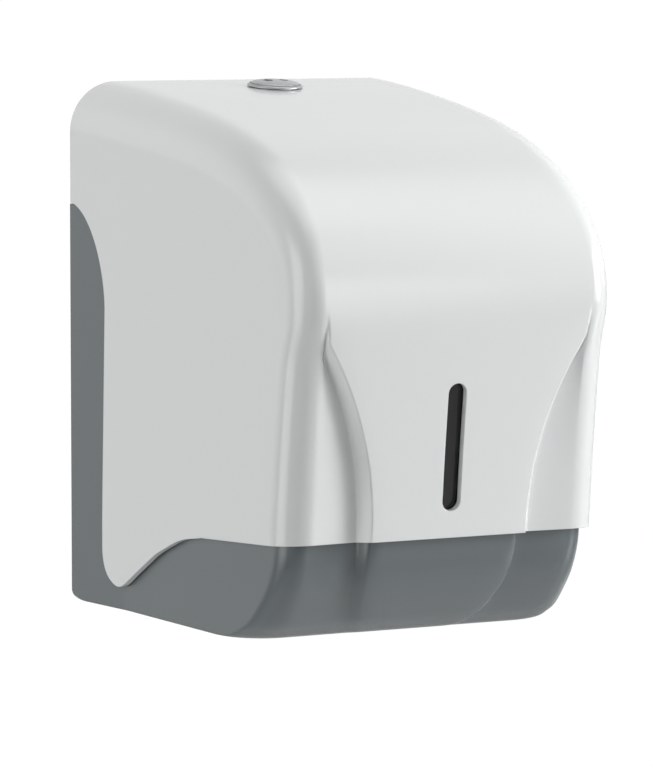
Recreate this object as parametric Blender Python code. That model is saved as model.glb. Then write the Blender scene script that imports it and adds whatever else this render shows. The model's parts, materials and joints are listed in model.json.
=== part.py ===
"""Wall-mounted toilet roll dispenser with a hinged cover, a turning lock and a telescopic spindle.

The origin is the middle of the four wall screw holes on the wall's plane, and the front faces -Y.
In the outlines below, depth is the distance from the wall, so y = -depth, and height is counted
from the lowest point. The last step moves everything from there to the origin.
"""

from math import atan, atan2, cos, pi, radians, sin, sqrt, tan

import bmesh
import bpy
from mathutils import Matrix, Vector

for item in list(bpy.data.objects):
    bpy.data.objects.remove(item, do_unlink=True)

mm = 0.001

# Whole body
bodyHeight = 168 * mm
bodyDepth = 149.4 * mm
backWidth = 125 * mm
sideTaper = 0.058
matingGap = 0.3 * mm
wallGap = 0.3 * mm
cutOverrun = 8 * mm

# Side profile of the cover, drawn as a smooth curve near these points, from the bottom of the
# front to behind the wall: share of the depth, share of the height, and shares of the shoulder
# radius at the wall for the corner's reach along the depth and across
shoulderRadius = 16 * mm
profileShares = [
    (0.9226, 0.0000, 0.650, 0.650), (0.9384, 0.1105, 0.650, 0.650), (0.9513, 0.2213, 0.648, 0.648),
    (0.9635, 0.3321, 0.638, 0.638), (0.9787, 0.4426, 0.617, 0.617), (0.9956, 0.5523, 0.589, 0.600),
    (1.0069, 0.6651, 0.622, 0.760), (0.9530, 0.7698, 0.736, 0.790), (0.8530, 0.8430, 0.779, 0.800),
    (0.7397, 0.8913, 0.803, 0.805), (0.6200, 0.9248, 0.851, 0.851), (0.4973, 0.9474, 0.904, 0.904),
    (0.3735, 0.9644, 0.942, 0.942), (0.2494, 0.9790, 0.973, 0.973), (0.1249, 0.9917, 0.989, 0.989),
    (0.0000, 1.0000, 1.000, 1.000), (-0.1249, 1.0083, 1.000, 1.000),
]
profileSteps = 3
shoulderSteps = 6

# Raised tongue of the front, which widens upwards into the shoulders
tongueFootHalfWidth = 26.4 * mm
tongueFlare = 20.6 * mm
tongueFlarePower = 2.2
tongueFootHeight = 33 * mm
tongueTopHeight = 98 * mm
tongueStepWidth = 3.1 * mm
tongueStepDepth = 5 * mm
flankDrop = 3.1 * mm
flankTopHeight = 84 * mm
flankFadeHeight = 104 * mm
crestRounding = 1.2 * mm

# Cover shell and its lower edge
coverWall = 2.2 * mm
coverSideWall = 2.0 * mm
lowerEdgeHeight = 29.7 * mm
lowerEdgeStart = 87 * mm
lowerEdgeSlope = 0.055
stripDepth = 23.8 * mm
stripTopHeight = 129 * mm
stripArcHeight = 33 * mm
stripArcPower = 1.8

# Tail of the cover, from the lower edge back to the strip:
# share of the lower edge's start, share of the lower edge's height
tailShares = [
    (0.961, 0.980), (0.885, 0.949), (0.809, 0.889), (0.736, 0.805), (0.662, 0.717), (0.595, 0.609),
    (0.529, 0.498), (0.460, 0.380), (0.420, 0.310), (0.395, 0.276), (0.374, 0.263), (0.351, 0.269),
    (0.328, 0.293), (0.299, 0.333), (0.272, 0.404), (0.255, 0.505), (0.247, 0.623),
]

# Hinge of the cover
hingeDepth = 33 * mm
hingeHeight = 12 * mm
hingePinRadius = 1.8 * mm
hingePinClearance = 0.06 * mm
hingeHeadRadius = 3.6 * mm
hingeHeadThickness = 1.6 * mm
hingeSocketDepth = 1.2 * mm

# Base: walls, strips beside the cover, chin
baseWall = 2.2 * mm
hollowFrontInset = 1.65 * mm
hollowLevelShares = [0.11, 0.20, 0.33, 0.50, 0.75]
backPlateThickness = 3 * mm
sideRecess = 2.6 * mm
recessRun = 32 * mm
trayHeight = 38 * mm
bottomThickness = 2.6 * mm
bottomRounding = 1 * mm
chinCornerRadius = 8 * mm
chinStepWidth = 2.6 * mm
chinStepDepth = 4.7 * mm
chinFlankShare = 0.6
stripLip = 6 * mm
stripTopOverlap = 4 * mm
stripWall = 2.5 * mm
plateCornerRadius = 13.4 * mm
plateTopGap = 0.8 * mm
plateSideGap = 0.6 * mm
plateFootShare = 0.44

# Chin levels: share of the tray's height, of the depth, of the tongue's foot, of the step,
# and of the corner radius
chinShares = [
    (0.000, 0.6864, 0.55, 0.00, 1.90), (0.0105, 0.7262, 0.57, 0.12, 1.80),
    (0.040, 0.7604, 0.62, 0.30, 1.65), (0.085, 0.7858, 0.68, 0.48, 1.50),
    (0.165, 0.8206, 0.77, 0.68, 1.30), (0.310, 0.8570, 0.855, 0.84, 1.15),
    (0.490, 0.8936, 0.92, 0.95, 1.05), (0.725, 0.9196, 0.945, 1.0, 1.00),
    (1.000, 0.9270, 0.95, 1.0, 1.00),
]

# Paper outlet and tear strip
outletWidth = 94 * mm
outletStartShare = 0.2945
outletEndShare = 0.6292
outletStart = outletStartShare * bodyDepth
outletEnd = outletEndShare * bodyDepth
outletRounding = 8 * mm
tearStripWidth = 90 * mm
tearStripDepth = 9 * mm
tearStripThickness = 1.2 * mm
tearToothPitch = 3 * mm
tearToothLength = 2.2 * mm
tearScrewShare = 1 / 3

# Window
slotLength = 39.4 * mm
slotWidth = 6.2 * mm
slotRise = 7.7 * mm
paneWidth = 14 * mm
paneLength = 43.2 * mm
paneThickness = 1 * mm
retainerWidth = 21 * mm
retainerLength = 47.2 * mm
retainerThickness = 2 * mm
retainerNotchWidth = 24 * mm
retainerNotchGap = 3.5 * mm
retainerLip = 1.8 * mm
pegRadius = 1.1 * mm
pegLength = 1.2 * mm
pegClearance = 0.15 * mm
pegInsetShare = 1 / 12

# Lock
lockDepth = 22.9 * mm
lockFlangeRadius = 9 * mm
lockFlangeThickness = 1.1 * mm
lockSleeveRadius = 7.4 * mm
lockSleeveLength = 9 * mm
lockBoreRadius = 6.1 * mm
lockHoleClearance = 0.2 * mm
lockBarrelRadius = 6.0 * mm
lockDomeRadius = 7.3 * mm
lockDomeHeight = 1.9 * mm
lockBarrelLength = 11.5 * mm
keyHoleOffset = 2.75 * mm
keyHoleLength = 2.4 * mm
keyHoleWidth = 1.5 * mm
keyHoleDepth = 5 * mm
clipRadius = 9.2 * mm
clipThickness = 1.6 * mm
clipClearance = 0.1 * mm
camLength = 13 * mm
camWidth = 7 * mm
camThickness = 2 * mm
camTabDepth = 3 * mm
camTabThickness = 2 * mm
camScrewRadius = 1.5 * mm
camScrewHeadRadius = 3 * mm
camScrewHeadHeight = 1.6 * mm
camScrewLength = 6 * mm
screwHoleClearance = 0.15 * mm

# Keeper that the cam hooks behind
keeperWidth = 7 * mm
keeperFlangeWidth = 26 * mm
keeperFlangeHeight = 12 * mm
keeperThickness = 2 * mm
keeperLipGap = 1.5 * mm
keeperLipHeight = 3 * mm
keeperShelfGap = 0.8 * mm
keeperScrewSpacing = 18 * mm

# Small self-tapping screws
smallScrewRadius = 1.4 * mm
smallScrewHeadRadius = 2.6 * mm
smallScrewHeadHeight = 1.6 * mm
smallScrewTipGap = 0.4 * mm
driveWidth = 1.6 * mm
driveDepth = 0.8 * mm
driveReachShare = 0.6
headCrownShare = 0.75

# Roll arms
spindleDepthShare = 0.455154
spindleHeightShare = 0.565476
spindleDepth = spindleDepthShare * bodyDepth
spindleHeight = spindleHeightShare * bodyHeight
rollWidth = 103 * mm
armThickness = 3 * mm
armTipRadius = 12 * mm
armFlangeWidth = 14 * mm
armFlangeHeight = 66 * mm
armFlangeThickness = 3 * mm
armScrewSpacing = 48 * mm
armSocketRadius = 4.3 * mm

# Telescopic spindle
sleeveRadius = 12 * mm
sleeveBore = 10.1 * mm
sleeveLength = 62 * mm
plungerRadius = 10 * mm
plungerBore = 8.2 * mm
plungerLength = 58 * mm
spindleEndGap = 0.5 * mm
spindleEndWall = 2.4 * mm
stubRadius = 4.2 * mm
stubLength = 3.3 * mm
springRadius = 7.2 * mm
springWire = 1.2 * mm

# Wall screw holes of the back plate
wallHoleRadius = 2.6 * mm
wallHoleSpacingX = 70 * mm
wallHoleSpacingShare = 0.535714
wallHoleCentreShare = 0.571429
wallHoleSpacingZ = wallHoleSpacingShare * bodyHeight
wallHoleCentreHeight = wallHoleCentreShare * bodyHeight

roundSegments = 28
smallRoundSegments = 16

halfBack = backWidth / 2
coverShellTop = bodyHeight + cutOverrun
lockClearRadius = lockSleeveRadius + lockHoleClearance
frontEdgeHeight = lowerEdgeHeight + lowerEdgeSlope * (bodyDepth - lowerEdgeStart)
slotHeight = frontEdgeHeight + slotRise + slotLength / 2
retainerNotchHeight = slotHeight - retainerLength / 2 - retainerNotchGap


def point(x, depth, height):
    return Vector((x, -depth, height))


def smooth(value):
    value = min(max(value, 0.0), 1.0)
    return value * value * (3 - 2 * value)


def interpolate(table, value, column):
    """Linear interpolation in a table whose rows start with their position."""
    previous = table[0]
    for row in table[1:]:
        if value <= row[0]:
            share = (value - previous[0]) / (row[0] - previous[0])
            return previous[column] + (row[column] - previous[column]) * max(share, 0.0)
        previous = row
    return previous[column]


def splineNear(points, steps):
    """Cubic B-spline that starts and ends on the first and last point, with steps in each span."""
    start = tuple(2 * a - b for a, b in zip(points[0], points[1]))
    end = tuple(2 * a - b for a, b in zip(points[-1], points[-2]))
    near = [start] + points + [end]
    curve = []
    for four in zip(near, near[1:], near[2:], near[3:]):
        for step in range(steps):
            u = step / steps
            curve.append(tuple(
                ((1 - u) ** 3 * a + (3 * u ** 3 - 6 * u ** 2 + 4) * b
                 + (1 + 3 * u + 3 * u ** 2 - 3 * u ** 3) * c + u ** 3 * d) / 6
                for a, b, c, d in zip(*four)))
    curve.append(tuple(points[-1]))
    return curve


# Materials

def material(name, colour, roughness, metallic=0.0, alpha=1.0):
    made = bpy.data.materials.new(name)
    made.use_nodes = True
    shader = made.node_tree.nodes["Principled BSDF"]
    shader.inputs["Base Color"].default_value = (*colour, 1.0)
    shader.inputs["Roughness"].default_value = roughness
    shader.inputs["Metallic"].default_value = metallic
    shader.inputs["Alpha"].default_value = alpha
    made.diffuse_color = (*colour, alpha)
    return made


whiteGloss = (0.80, 0.80, 0.79)
greySatin = (0.17, 0.19, 0.195)
innerGrey = (0.30, 0.31, 0.32)
lockSilver = (0.42, 0.44, 0.45)
steelGrey = (0.55, 0.55, 0.56)
smokeBlack = (0.02, 0.02, 0.022)


# Mesh helpers

def objectFrom(bm, name, made=None, sharpAngle=30):
    bmesh.ops.recalc_face_normals(bm, faces=bm.faces)
    mesh = bpy.data.meshes.new(name)
    bm.to_mesh(mesh)
    bm.free()
    mesh.shade_smooth()
    mesh.set_sharp_from_angle(angle=radians(sharpAngle))
    made_object = bpy.data.objects.new(name, mesh)
    bpy.context.scene.collection.objects.link(made_object)
    if made:
        mesh.materials.append(made)
    return made_object


def loftMesh(loops):
    """Closed solid through loops of equal count, capped at both ends."""
    bm = bmesh.new()
    rings = [[bm.verts.new(p) for p in loop] for loop in loops]
    count = len(rings[0])
    for lower, upper in zip(rings, rings[1:]):
        for index in range(count):
            after = (index + 1) % count
            bm.faces.new((lower[index], lower[after], upper[after], upper[index]))
    bm.faces.new(rings[0][::-1])
    bm.faces.new(rings[-1])
    return bm


def prismMesh(outline, offset):
    """Solid swept from an outline of vectors along an offset vector."""
    return loftMesh([outline, [p + offset for p in outline]])


def boxMesh(low, high):
    corners = [(low[0], low[1]), (high[0], low[1]), (high[0], high[1]), (low[0], high[1])]
    outline = [Vector((x, y, low[2])) for x, y in corners]
    return prismMesh(outline, Vector((0, 0, high[2] - low[2])))


def turnedMesh(profile, segments=roundSegments):
    """Solid turned around Z from (radius, height) points; a radius of zero closes a pole."""
    bm = bmesh.new()
    rings = []
    for radius, height in profile:
        if radius == 0:
            rings.append([bm.verts.new((0, 0, height))])
            continue
        rings.append([bm.verts.new((radius * cos(2 * pi * k / segments),
                                    radius * sin(2 * pi * k / segments), height))
                      for k in range(segments)])
    pairs = list(zip(rings, rings[1:]))
    if len(rings[0]) > 1 and len(rings[-1]) > 1:
        pairs.append((rings[-1], rings[0]))
    for lower, upper in pairs:
        for k in range(segments):
            after = (k + 1) % segments
            ring = [lower[k % len(lower)], lower[after % len(lower)],
                    upper[after % len(upper)], upper[k % len(upper)]]
            face = list(dict.fromkeys(ring))
            if len(face) > 2:
                bm.faces.new(face)
    return bm


def place(bm, matrix):
    bmesh.ops.transform(bm, matrix=matrix, verts=bm.verts)
    return bm


def join(target, source):
    """Adds a mesh to another as a separate closed body."""
    mesh = bpy.data.meshes.new("joined")
    source.to_mesh(mesh)
    source.free()
    target.from_mesh(mesh)
    bpy.data.meshes.remove(mesh)
    return target


def booleanWith(target, cutterMesh, operation):
    """Applies an exact Boolean of a cutter mesh to the target object."""
    cutter = objectFrom(cutterMesh, "cutter")
    cutter.hide_render = True
    cutter.display_type = "WIRE"
    modifier = target.modifiers.new("cut", "BOOLEAN")
    modifier.object = cutter
    modifier.operation = operation
    modifier.solver = "EXACT"
    graph = bpy.context.evaluated_depsgraph_get()
    result = bpy.data.meshes.new_from_object(target.evaluated_get(graph))
    target.modifiers.clear()
    old = target.data
    target.data = result
    result.name = target.name
    bpy.data.meshes.remove(old)
    bpy.data.objects.remove(cutter, do_unlink=True)
    return target


def cut(target, cutterMesh):
    return booleanWith(target, cutterMesh, "DIFFERENCE")


def fuse(target, otherMesh):
    return booleanWith(target, otherMesh, "UNION")


def finish(target, sharpAngle=30):
    target.data.shade_smooth()
    target.data.set_sharp_from_angle(angle=radians(sharpAngle))
    return target


def alongX(x, depth, height):
    """Matrix that lays a turned solid's axis along +X at a place."""
    return Matrix.Translation(point(x, depth, height)) @ Matrix.Rotation(pi / 2, 4, "Y")


def alongDepth(x, depth, height):
    """Matrix that points a turned solid's axis out of the wall at a place."""
    return Matrix.Translation(point(x, depth, height)) @ Matrix.Rotation(pi / 2, 4, "X")


def cylinderMesh(radius, low, high, segments=roundSegments):
    return turnedMesh([(0, low), (radius, low), (radius, high), (0, high)], segments)


def screwMesh(headRadius, headHeight, shankRadius, shankLength):
    """Pan-head screw whose shank points down from the head's underside at z = 0."""
    profile = [(0, -shankLength), (shankRadius, -shankLength), (shankRadius, 0), (headRadius, 0),
               (headRadius, headHeight / 2), (headRadius * headCrownShare, headHeight),
               (0, headHeight)]
    return turnedMesh(profile, smallRoundSegments)


def addScrews(names, matrices, made, headRadius, headHeight, shankRadius, shankLength):
    """A screw object at each matrix, each with a cross slot in its head."""
    narrow = driveWidth / 4
    wide = headRadius * driveReachShare
    cross = [(wide, narrow), (narrow, narrow), (narrow, wide)]
    cross += [(-x, y) for x, y in cross[::-1]]
    cross += [(-x, -y) for x, y in cross]
    floor = [Vector((x, y, headHeight - driveDepth)) for x, y in cross]
    for name, matrix in zip(names, matrices):
        body = place(screwMesh(headRadius, headHeight, shankRadius, shankLength), matrix)
        screw = objectFrom(body, name, made)
        finish(cut(screw, place(prismMesh(floor, Vector((0, 0, 2 * driveDepth))), matrix)))


def numbered(name, matrices):
    return [name + "_" + str(index + 1) for index in range(len(matrices))]


# Outer surfaces of the cover

profile = splineNear([(d * bodyDepth, h * bodyHeight, r * shoulderRadius, s * shoulderRadius)
                      for d, h, r, s in profileShares], profileSteps)


def coverHalfWidth(depth):
    return halfBack - sideTaper * depth


def lowerEdge(depth):
    return lowerEdgeHeight + lowerEdgeSlope * (depth - lowerEdgeStart)


def tongueHalfWidth(height):
    rise = (height - tongueFootHeight) / (tongueTopHeight - tongueFootHeight)
    return tongueFootHalfWidth + tongueFlare * max(rise, 0.0) ** tongueFlarePower


def stepShape(height):
    """Drop of the flank at the corner and of the crease beside the tongue."""
    share = 1 - smooth((height - flankTopHeight) / (flankFadeHeight - flankTopHeight))
    return flankDrop * share, tongueStepDepth * share


def coverColumns(depth, height, radius, spread, normal, inset, sideInset):
    """Half section as (x, offset along the profile's normal), from the middle to the side."""
    flank, crease = stepShape(height)
    endAngle = pi / 2 - atan(sideTaper * max(normal[0], 0.0))
    fillet = radius - sideInset
    across = spread - sideInset
    drop = flank + inset
    endDepth = depth - normal[0] * (drop + fillet * (1 - cos(endAngle)))
    cornerX = coverHalfWidth(endDepth) - sideInset - across * sin(endAngle)
    stepAngle = atan2(tongueStepDepth, tongueStepWidth)
    stepShift = inset * tan(stepAngle / 2)
    crestX = min(tongueHalfWidth(height) - stepShift, cornerX - crestRounding)
    creaseX = min(crestX + tongueStepWidth, cornerX - crestRounding / 4)
    columns = [(0.0, -inset), (crestX / 2, -inset), (crestX - crestRounding, -inset)]
    columns.append((crestX + crestRounding / 4, -inset - crease / 6))
    columns.append((creaseX, -inset - crease))
    columns.append(((creaseX + cornerX) / 2, -inset - (crease + flank) / 2))
    for step in range(shoulderSteps + 1):
        angle = endAngle * step / shoulderSteps
        columns.append((cornerX + across * sin(angle), -drop - fillet * (1 - cos(angle))))
    return columns


def coverRows(inset, sideInset, overrun):
    """Rows of points across the cover, from below its front edge to behind the wall."""
    points = list(profile)
    first, second = points[0], points[1]
    stretch = overrun / (second[1] - first[1])
    points[0] = tuple(a - (b - a) * stretch for a, b in zip(first, second))
    last, previous = points[-1], points[-2]
    stretch = overrun / (previous[0] - last[0])
    points[-1] = tuple(a + (a - b) * stretch for a, b in zip(last, previous))
    rows = []
    for index, (depth, height, radius, spread) in enumerate(points):
        before = points[max(index - 1, 0)]
        after = points[min(index + 1, len(points) - 1)]
        along = Vector((after[0] - before[0], after[1] - before[1])).normalized()
        normal = (along.y, -along.x)
        half = [(x, depth + normal[0] * h, height + normal[1] * h)
                for x, h in coverColumns(depth, height, radius, spread, normal, inset, sideInset)]
        rows.append([(-x, d, z) for x, d, z in half[:0:-1]] + half)
    return rows


def coverSolid(inset, sideInset, overrun):
    """Closed body under the cover's outer or inner surface, open to nothing."""
    rows = coverRows(inset, sideInset, overrun)
    backDepth = rows[-1][0][1]
    lowHeight = rows[0][0][2]
    reach = coverHalfWidth(backDepth) - sideInset
    widest = rows[0][-1][0]
    rows.append([(x * reach / widest, backDepth, lowHeight) for x, d, z in rows[0]])
    columns = [[point(*rows[r][c]) for r in range(len(rows))] for c in range(len(rows[0]))]
    return loftMesh(columns)


def stripEdge(steps):
    """Front edge of the grey strip at the wall, from its top down to its straight side."""
    start = stripTopHeight - stripArcHeight
    edge = []
    for step in range(steps + 1):
        angle = pi / 2 * (1 - step / steps)
        depth = stripDepth * cos(angle) ** (2 / stripArcPower)
        edge.append((max(depth, wallGap), start + stripArcHeight * sin(angle) ** (2 / stripArcPower)))
    return edge


def coverOutline(grow):
    """Lower and rear edge of the cover's side as (depth, height), moved outwards by grow."""
    frontDepth = bodyDepth + cutOverrun
    edge = [(frontDepth, lowerEdge(frontDepth)), (lowerEdgeStart, lowerEdge(lowerEdgeStart))]
    edge += [(d * lowerEdgeStart, h * lowerEdgeHeight) for d, h in tailShares]
    edge += stripEdge(8)[::-1]
    moved = []
    for index, (depth, height) in enumerate(edge):
        before = edge[max(index - 1, 0)]
        after = edge[min(index + 1, len(edge) - 1)]
        along = Vector((after[0] - before[0], after[1] - before[1])).normalized()
        moved.append((depth - along.y * grow, height + along.x * grow))
    return moved


# Base

def baseHalfWidth(depth):
    """The base's side starts flush with the cover at the wall and draws in under it."""
    return coverHalfWidth(depth) - sideRecess * min(depth / recessRun, 1.0)


def chinLevel(height):
    table = [(h * trayHeight, d * bodyDepth, t * tongueFootHalfWidth, s * chinStepDepth,
              r * chinCornerRadius) for h, d, t, s, r in chinShares]
    return tuple(interpolate(table, height, column) for column in range(1, 5))


def baseLoop(height, level, edgeInset, wall, backDepth):
    """Horizontal loop of the base at a height, inset by a wall, from the wall plane round the chin."""
    frontDepth, tongueX, step, cornerRadius = level
    sideInset = edgeInset + wall
    cornerDepth = frontDepth - step * chinFlankShare
    radius = cornerRadius - wall
    half = []
    for share in (0.0, 0.25, 0.5, 0.75, 1.0):
        depth = backDepth + (recessRun - backDepth) * share
        half.append((baseHalfWidth(depth) - sideInset, depth))
    cornerX = baseHalfWidth(cornerDepth - radius) - sideInset - radius
    for k in range(6):
        angle = pi / 2 * (1 - k / 5)
        half.append((cornerX + radius * sin(angle), cornerDepth - radius * (1 - cos(angle))))
    shift = wall / 2
    half.append((tongueX - shift + chinStepWidth, frontDepth - step))
    half.append((tongueX - shift, frontDepth))
    left = [(-x, d) for x, d in half[::-1]]
    return [point(x, d, height) for x, d in half + left]


def buildBase():
    made = material("base_grey", greySatin, 0.42)
    loops = []
    heights = [row[0] * trayHeight for row in chinShares]
    for height in heights:
        lift = max(bottomRounding - height, 0.0)
        edgeInset = bottomRounding - sqrt(max(bottomRounding ** 2 - lift ** 2, 0.0))
        loops.append(baseLoop(height, chinLevel(height), edgeInset, 0.0, 0.0))
    stripEnd = stripTopHeight + stripTopOverlap
    loops.append(baseLoop(stripEnd, chinLevel(trayHeight), 0.0, 0.0, 0.0))
    base = objectFrom(loftMesh(loops), "base_housing", made)

    # Back plate, inside the cover's rim
    plateHalf = halfBack - sideRecess - plateSideGap
    plateTop = bodyHeight - coverWall - plateTopGap
    corner = []
    for k in range(7):
        angle = pi / 2 * k / 6
        corner.append((plateHalf - plateCornerRadius * (1 - cos(angle)),
                       plateTop - plateCornerRadius * (1 - sin(angle))))
    outline = [(plateHalf, trayHeight * plateFootShare)] + corner
    outline += [(-x, z) for x, z in outline[::-1]]
    plate = prismMesh([point(x, 0.0, z) for x, z in outline], point(0.0, backPlateThickness, 0.0))
    fuse(base, plate)

    # Above the tray only the strips at the wall stay, with a lip that reaches under the cover
    top = bodyHeight + cutOverrun
    lipEnd = stripDepth + stripLip
    reach = halfBack + cutOverrun
    cut(base, boxMesh(point(-reach, bodyDepth + cutOverrun, trayHeight),
                      point(reach, lipEnd, top)))
    inner = sideRecess + stripWall
    between = [(side * (coverHalfWidth(d) - inner), d)
               for side, d in ((1, backPlateThickness), (1, lipEnd + cutOverrun),
                               (-1, lipEnd + cutOverrun), (-1, backPlateThickness))]
    foot = trayHeight * plateFootShare
    cut(base, prismMesh([point(x, d, foot) for x, d in between], Vector((0, 0, top - foot))))

    # Room for the cover's side walls and tails
    for side in (-1, 1):
        clear = coverOutline(matingGap)
        ring = clear + [(-cutOverrun, clear[-1][1]), (-cutOverrun, top),
                        (bodyDepth + cutOverrun, top)]
        faceInset = sideRecess - matingGap / 6
        inside = [point(side * (coverHalfWidth(d) - faceInset), d, z) for d, z in ring]
        outside = [point(side * (halfBack + cutOverrun), d, z) for d, z in ring]
        cut(base, loftMesh([inside, outside]))

    # Hollow of the tray
    levels = [bottomThickness] + [trayHeight * share for share in hollowLevelShares]
    levels.append(trayHeight + cutOverrun)
    loops = []
    for height in levels:
        level = chinLevel(min(max(height - baseWall, 0.0), trayHeight))
        inner = (level[0] - hollowFrontInset, *level[1:])
        loops.append(baseLoop(height, inner, 0.0, baseWall, backPlateThickness))
    cut(base, loftMesh(loops))

    # Notch in the front wall that the window retainer swings through
    half = retainerNotchWidth / 2
    cut(base, boxMesh(point(-half, bodyDepth, retainerNotchHeight),
                      point(half, outletEnd + tearStripDepth, trayHeight + cutOverrun)))
    return base


def roundedRectangle(halfX, halfY, radius, steps=5):
    outline = []
    for quarter, (cornerX, cornerY) in enumerate(((1, 1), (-1, 1), (-1, -1), (1, -1))):
        for k in range(steps + 1):
            angle = pi / 2 * (quarter + k / steps)
            outline.append((cornerX * (halfX - radius) + radius * cos(angle),
                            cornerY * (halfY - radius) + radius * sin(angle)))
    return outline


def stadium(length, width, steps=8):
    """Upright stadium outline around its centre."""
    reach = (length - width) / 2
    outline = []
    for end, start in ((1, 0), (-1, 1)):
        for k in range(steps + 1):
            angle = pi * (start + k / steps)
            outline.append((width / 2 * cos(angle), end * reach + width / 2 * sin(angle)))
    return outline


def cutBaseHoles(base):
    """Paper outlet, wall screw holes, pilot holes and hinge holes."""
    middle = (outletStart + outletEnd) / 2
    outlet = roundedRectangle(outletWidth / 2, (outletEnd - outletStart) / 2, outletRounding)
    low = -cutOverrun / 2
    cut(base, prismMesh([point(x, middle + d, low) for x, d in outlet],
                        Vector((0, 0, bottomThickness + cutOverrun))))
    holes = bmesh.new()
    for sx in (-1, 1):
        for sz in (-1, 1):
            height = wallHoleCentreHeight + sz * wallHoleSpacingZ / 2
            matrix = alongDepth(sx * wallHoleSpacingX / 2, -cutOverrun / 2, height)
            drill = cylinderMesh(wallHoleRadius, 0.0, backPlateThickness + cutOverrun,
                                 smallRoundSegments)
            join(holes, place(drill, matrix))
    drillRadius = smallScrewRadius + screwHoleClearance
    for matrix in armScrewPlaces() + keeperScrewPlaces():
        drill = cylinderMesh(drillRadius, -backPlateThickness - cutOverrun, 0.0, smallRoundSegments)
        join(holes, place(drill, matrix))
    for side in (-1, 1):
        pinHole = cylinderMesh(hingePinRadius + hingePinClearance, -cutOverrun, cutOverrun)
        inner = baseHalfWidth(hingeDepth)
        join(holes, place(pinHole, alongX(side * inner, hingeDepth, hingeHeight)))
    cut(base, holes)
    return finish(base)


# Places of the screws, with the head's underside at the matrix's origin

def armSide(side):
    return side * (rollWidth / 2 + armThickness / 2)


def armScrewPlaces():
    places = []
    for side in (-1, 1):
        x = armSide(side) - side * (armThickness / 2 + armFlangeWidth) / 2
        for sign in (-1, 1):
            height = spindleHeight + sign * armScrewSpacing / 2
            depth = backPlateThickness + matingGap + armFlangeThickness + matingGap
            places.append(alongDepth(x, depth, height))
    return places


def profilePoint(depth):
    """Point and normal of the cover's top profile at a depth, on the top side."""
    for start, end in zip(profile[::-1], profile[-2::-1]):
        if start[0] <= depth <= end[0]:
            share = (depth - start[0]) / (end[0] - start[0])
            along = Vector((start[0] - end[0], start[1] - end[1])).normalized()
            height = start[1] + (end[1] - start[1]) * share
            return height, (along.y, -along.x)
    raise ValueError("depth is outside the profile")


lockHeight, lockNormal = profilePoint(lockDepth)
lockTilt = atan2(lockNormal[0], lockNormal[1])
lockMatrix = Matrix.Translation(point(0.0, lockDepth, lockHeight)) @ Matrix.Rotation(lockTilt, 4, "X")
camTop = -lockBarrelLength - matingGap
camBottom = camTop - camThickness


def lockReach(radius, below):
    """Depth and height of a point behind the lock's axis, below the cover's skin."""
    spot = lockMatrix @ Vector((0.0, radius, below))
    return -spot.y, spot.z


keeperLipFront = lockReach(camLength - camTabThickness, camBottom)[0] + keeperLipGap
keeperShelfTop = lockReach(camLength, camBottom - camTabDepth)[1] - keeperShelfGap
keeperFlangeTop = keeperShelfTop
keeperScrewHeight = keeperFlangeTop - keeperFlangeHeight / 2


def keeperScrewPlaces():
    depth = backPlateThickness + matingGap + keeperThickness + matingGap
    return [alongDepth(side * keeperScrewSpacing / 2, depth, keeperScrewHeight) for side in (-1, 1)]


def buildSmallScrews():
    steel = material("small_screw_steel", steelGrey, 0.3, 1.0)
    armLength = armFlangeThickness + matingGap * 2 + backPlateThickness - smallScrewTipGap
    keeperLength = keeperThickness + matingGap * 2 + backPlateThickness - smallScrewTipGap
    tearLength = tearStripThickness + matingGap * 2 + bottomThickness - smallScrewTipGap
    for name, matrices, length in (("arm_screw", armScrewPlaces(), armLength),
                                   ("keeper_screw", keeperScrewPlaces(), keeperLength),
                                   ("tear_strip_screw", tearScrewPlaces(), tearLength)):
        addScrews(numbered(name, matrices), matrices, steel, smallScrewHeadRadius,
                  smallScrewHeadHeight, smallScrewRadius, length)


# Cover and window

frontIndex = [i for i, row in enumerate(profile) if row[1] < slotHeight][-1]


def windowMatrix(inset):
    """Frame on the tongue at the slot's middle: X across, Y up the face, Z outwards."""
    low = profile[frontIndex]
    high = profile[frontIndex + 1]
    share = (slotHeight - low[1]) / (high[1] - low[1])
    depth = low[0] + (high[0] - low[0]) * share
    lean = atan2(high[0] - low[0], high[1] - low[1])
    across = Vector((1, 0, 0))
    upward = Vector((0, -sin(lean), cos(lean)))
    outward = across.cross(upward)
    turn = Matrix((across, upward, outward)).transposed()
    return Matrix.Translation(point(0.0, depth, slotHeight) - outward * inset) @ turn.to_4x4()


def pegPlaces():
    reachX = (paneWidth + retainerWidth) / 4
    reachY = (paneLength + retainerLength) / 4
    reachY -= paneLength * pegInsetShare
    return [(sx * reachX, sy * reachY) for sx in (-1, 1) for sy in (-1, 1)]


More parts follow.
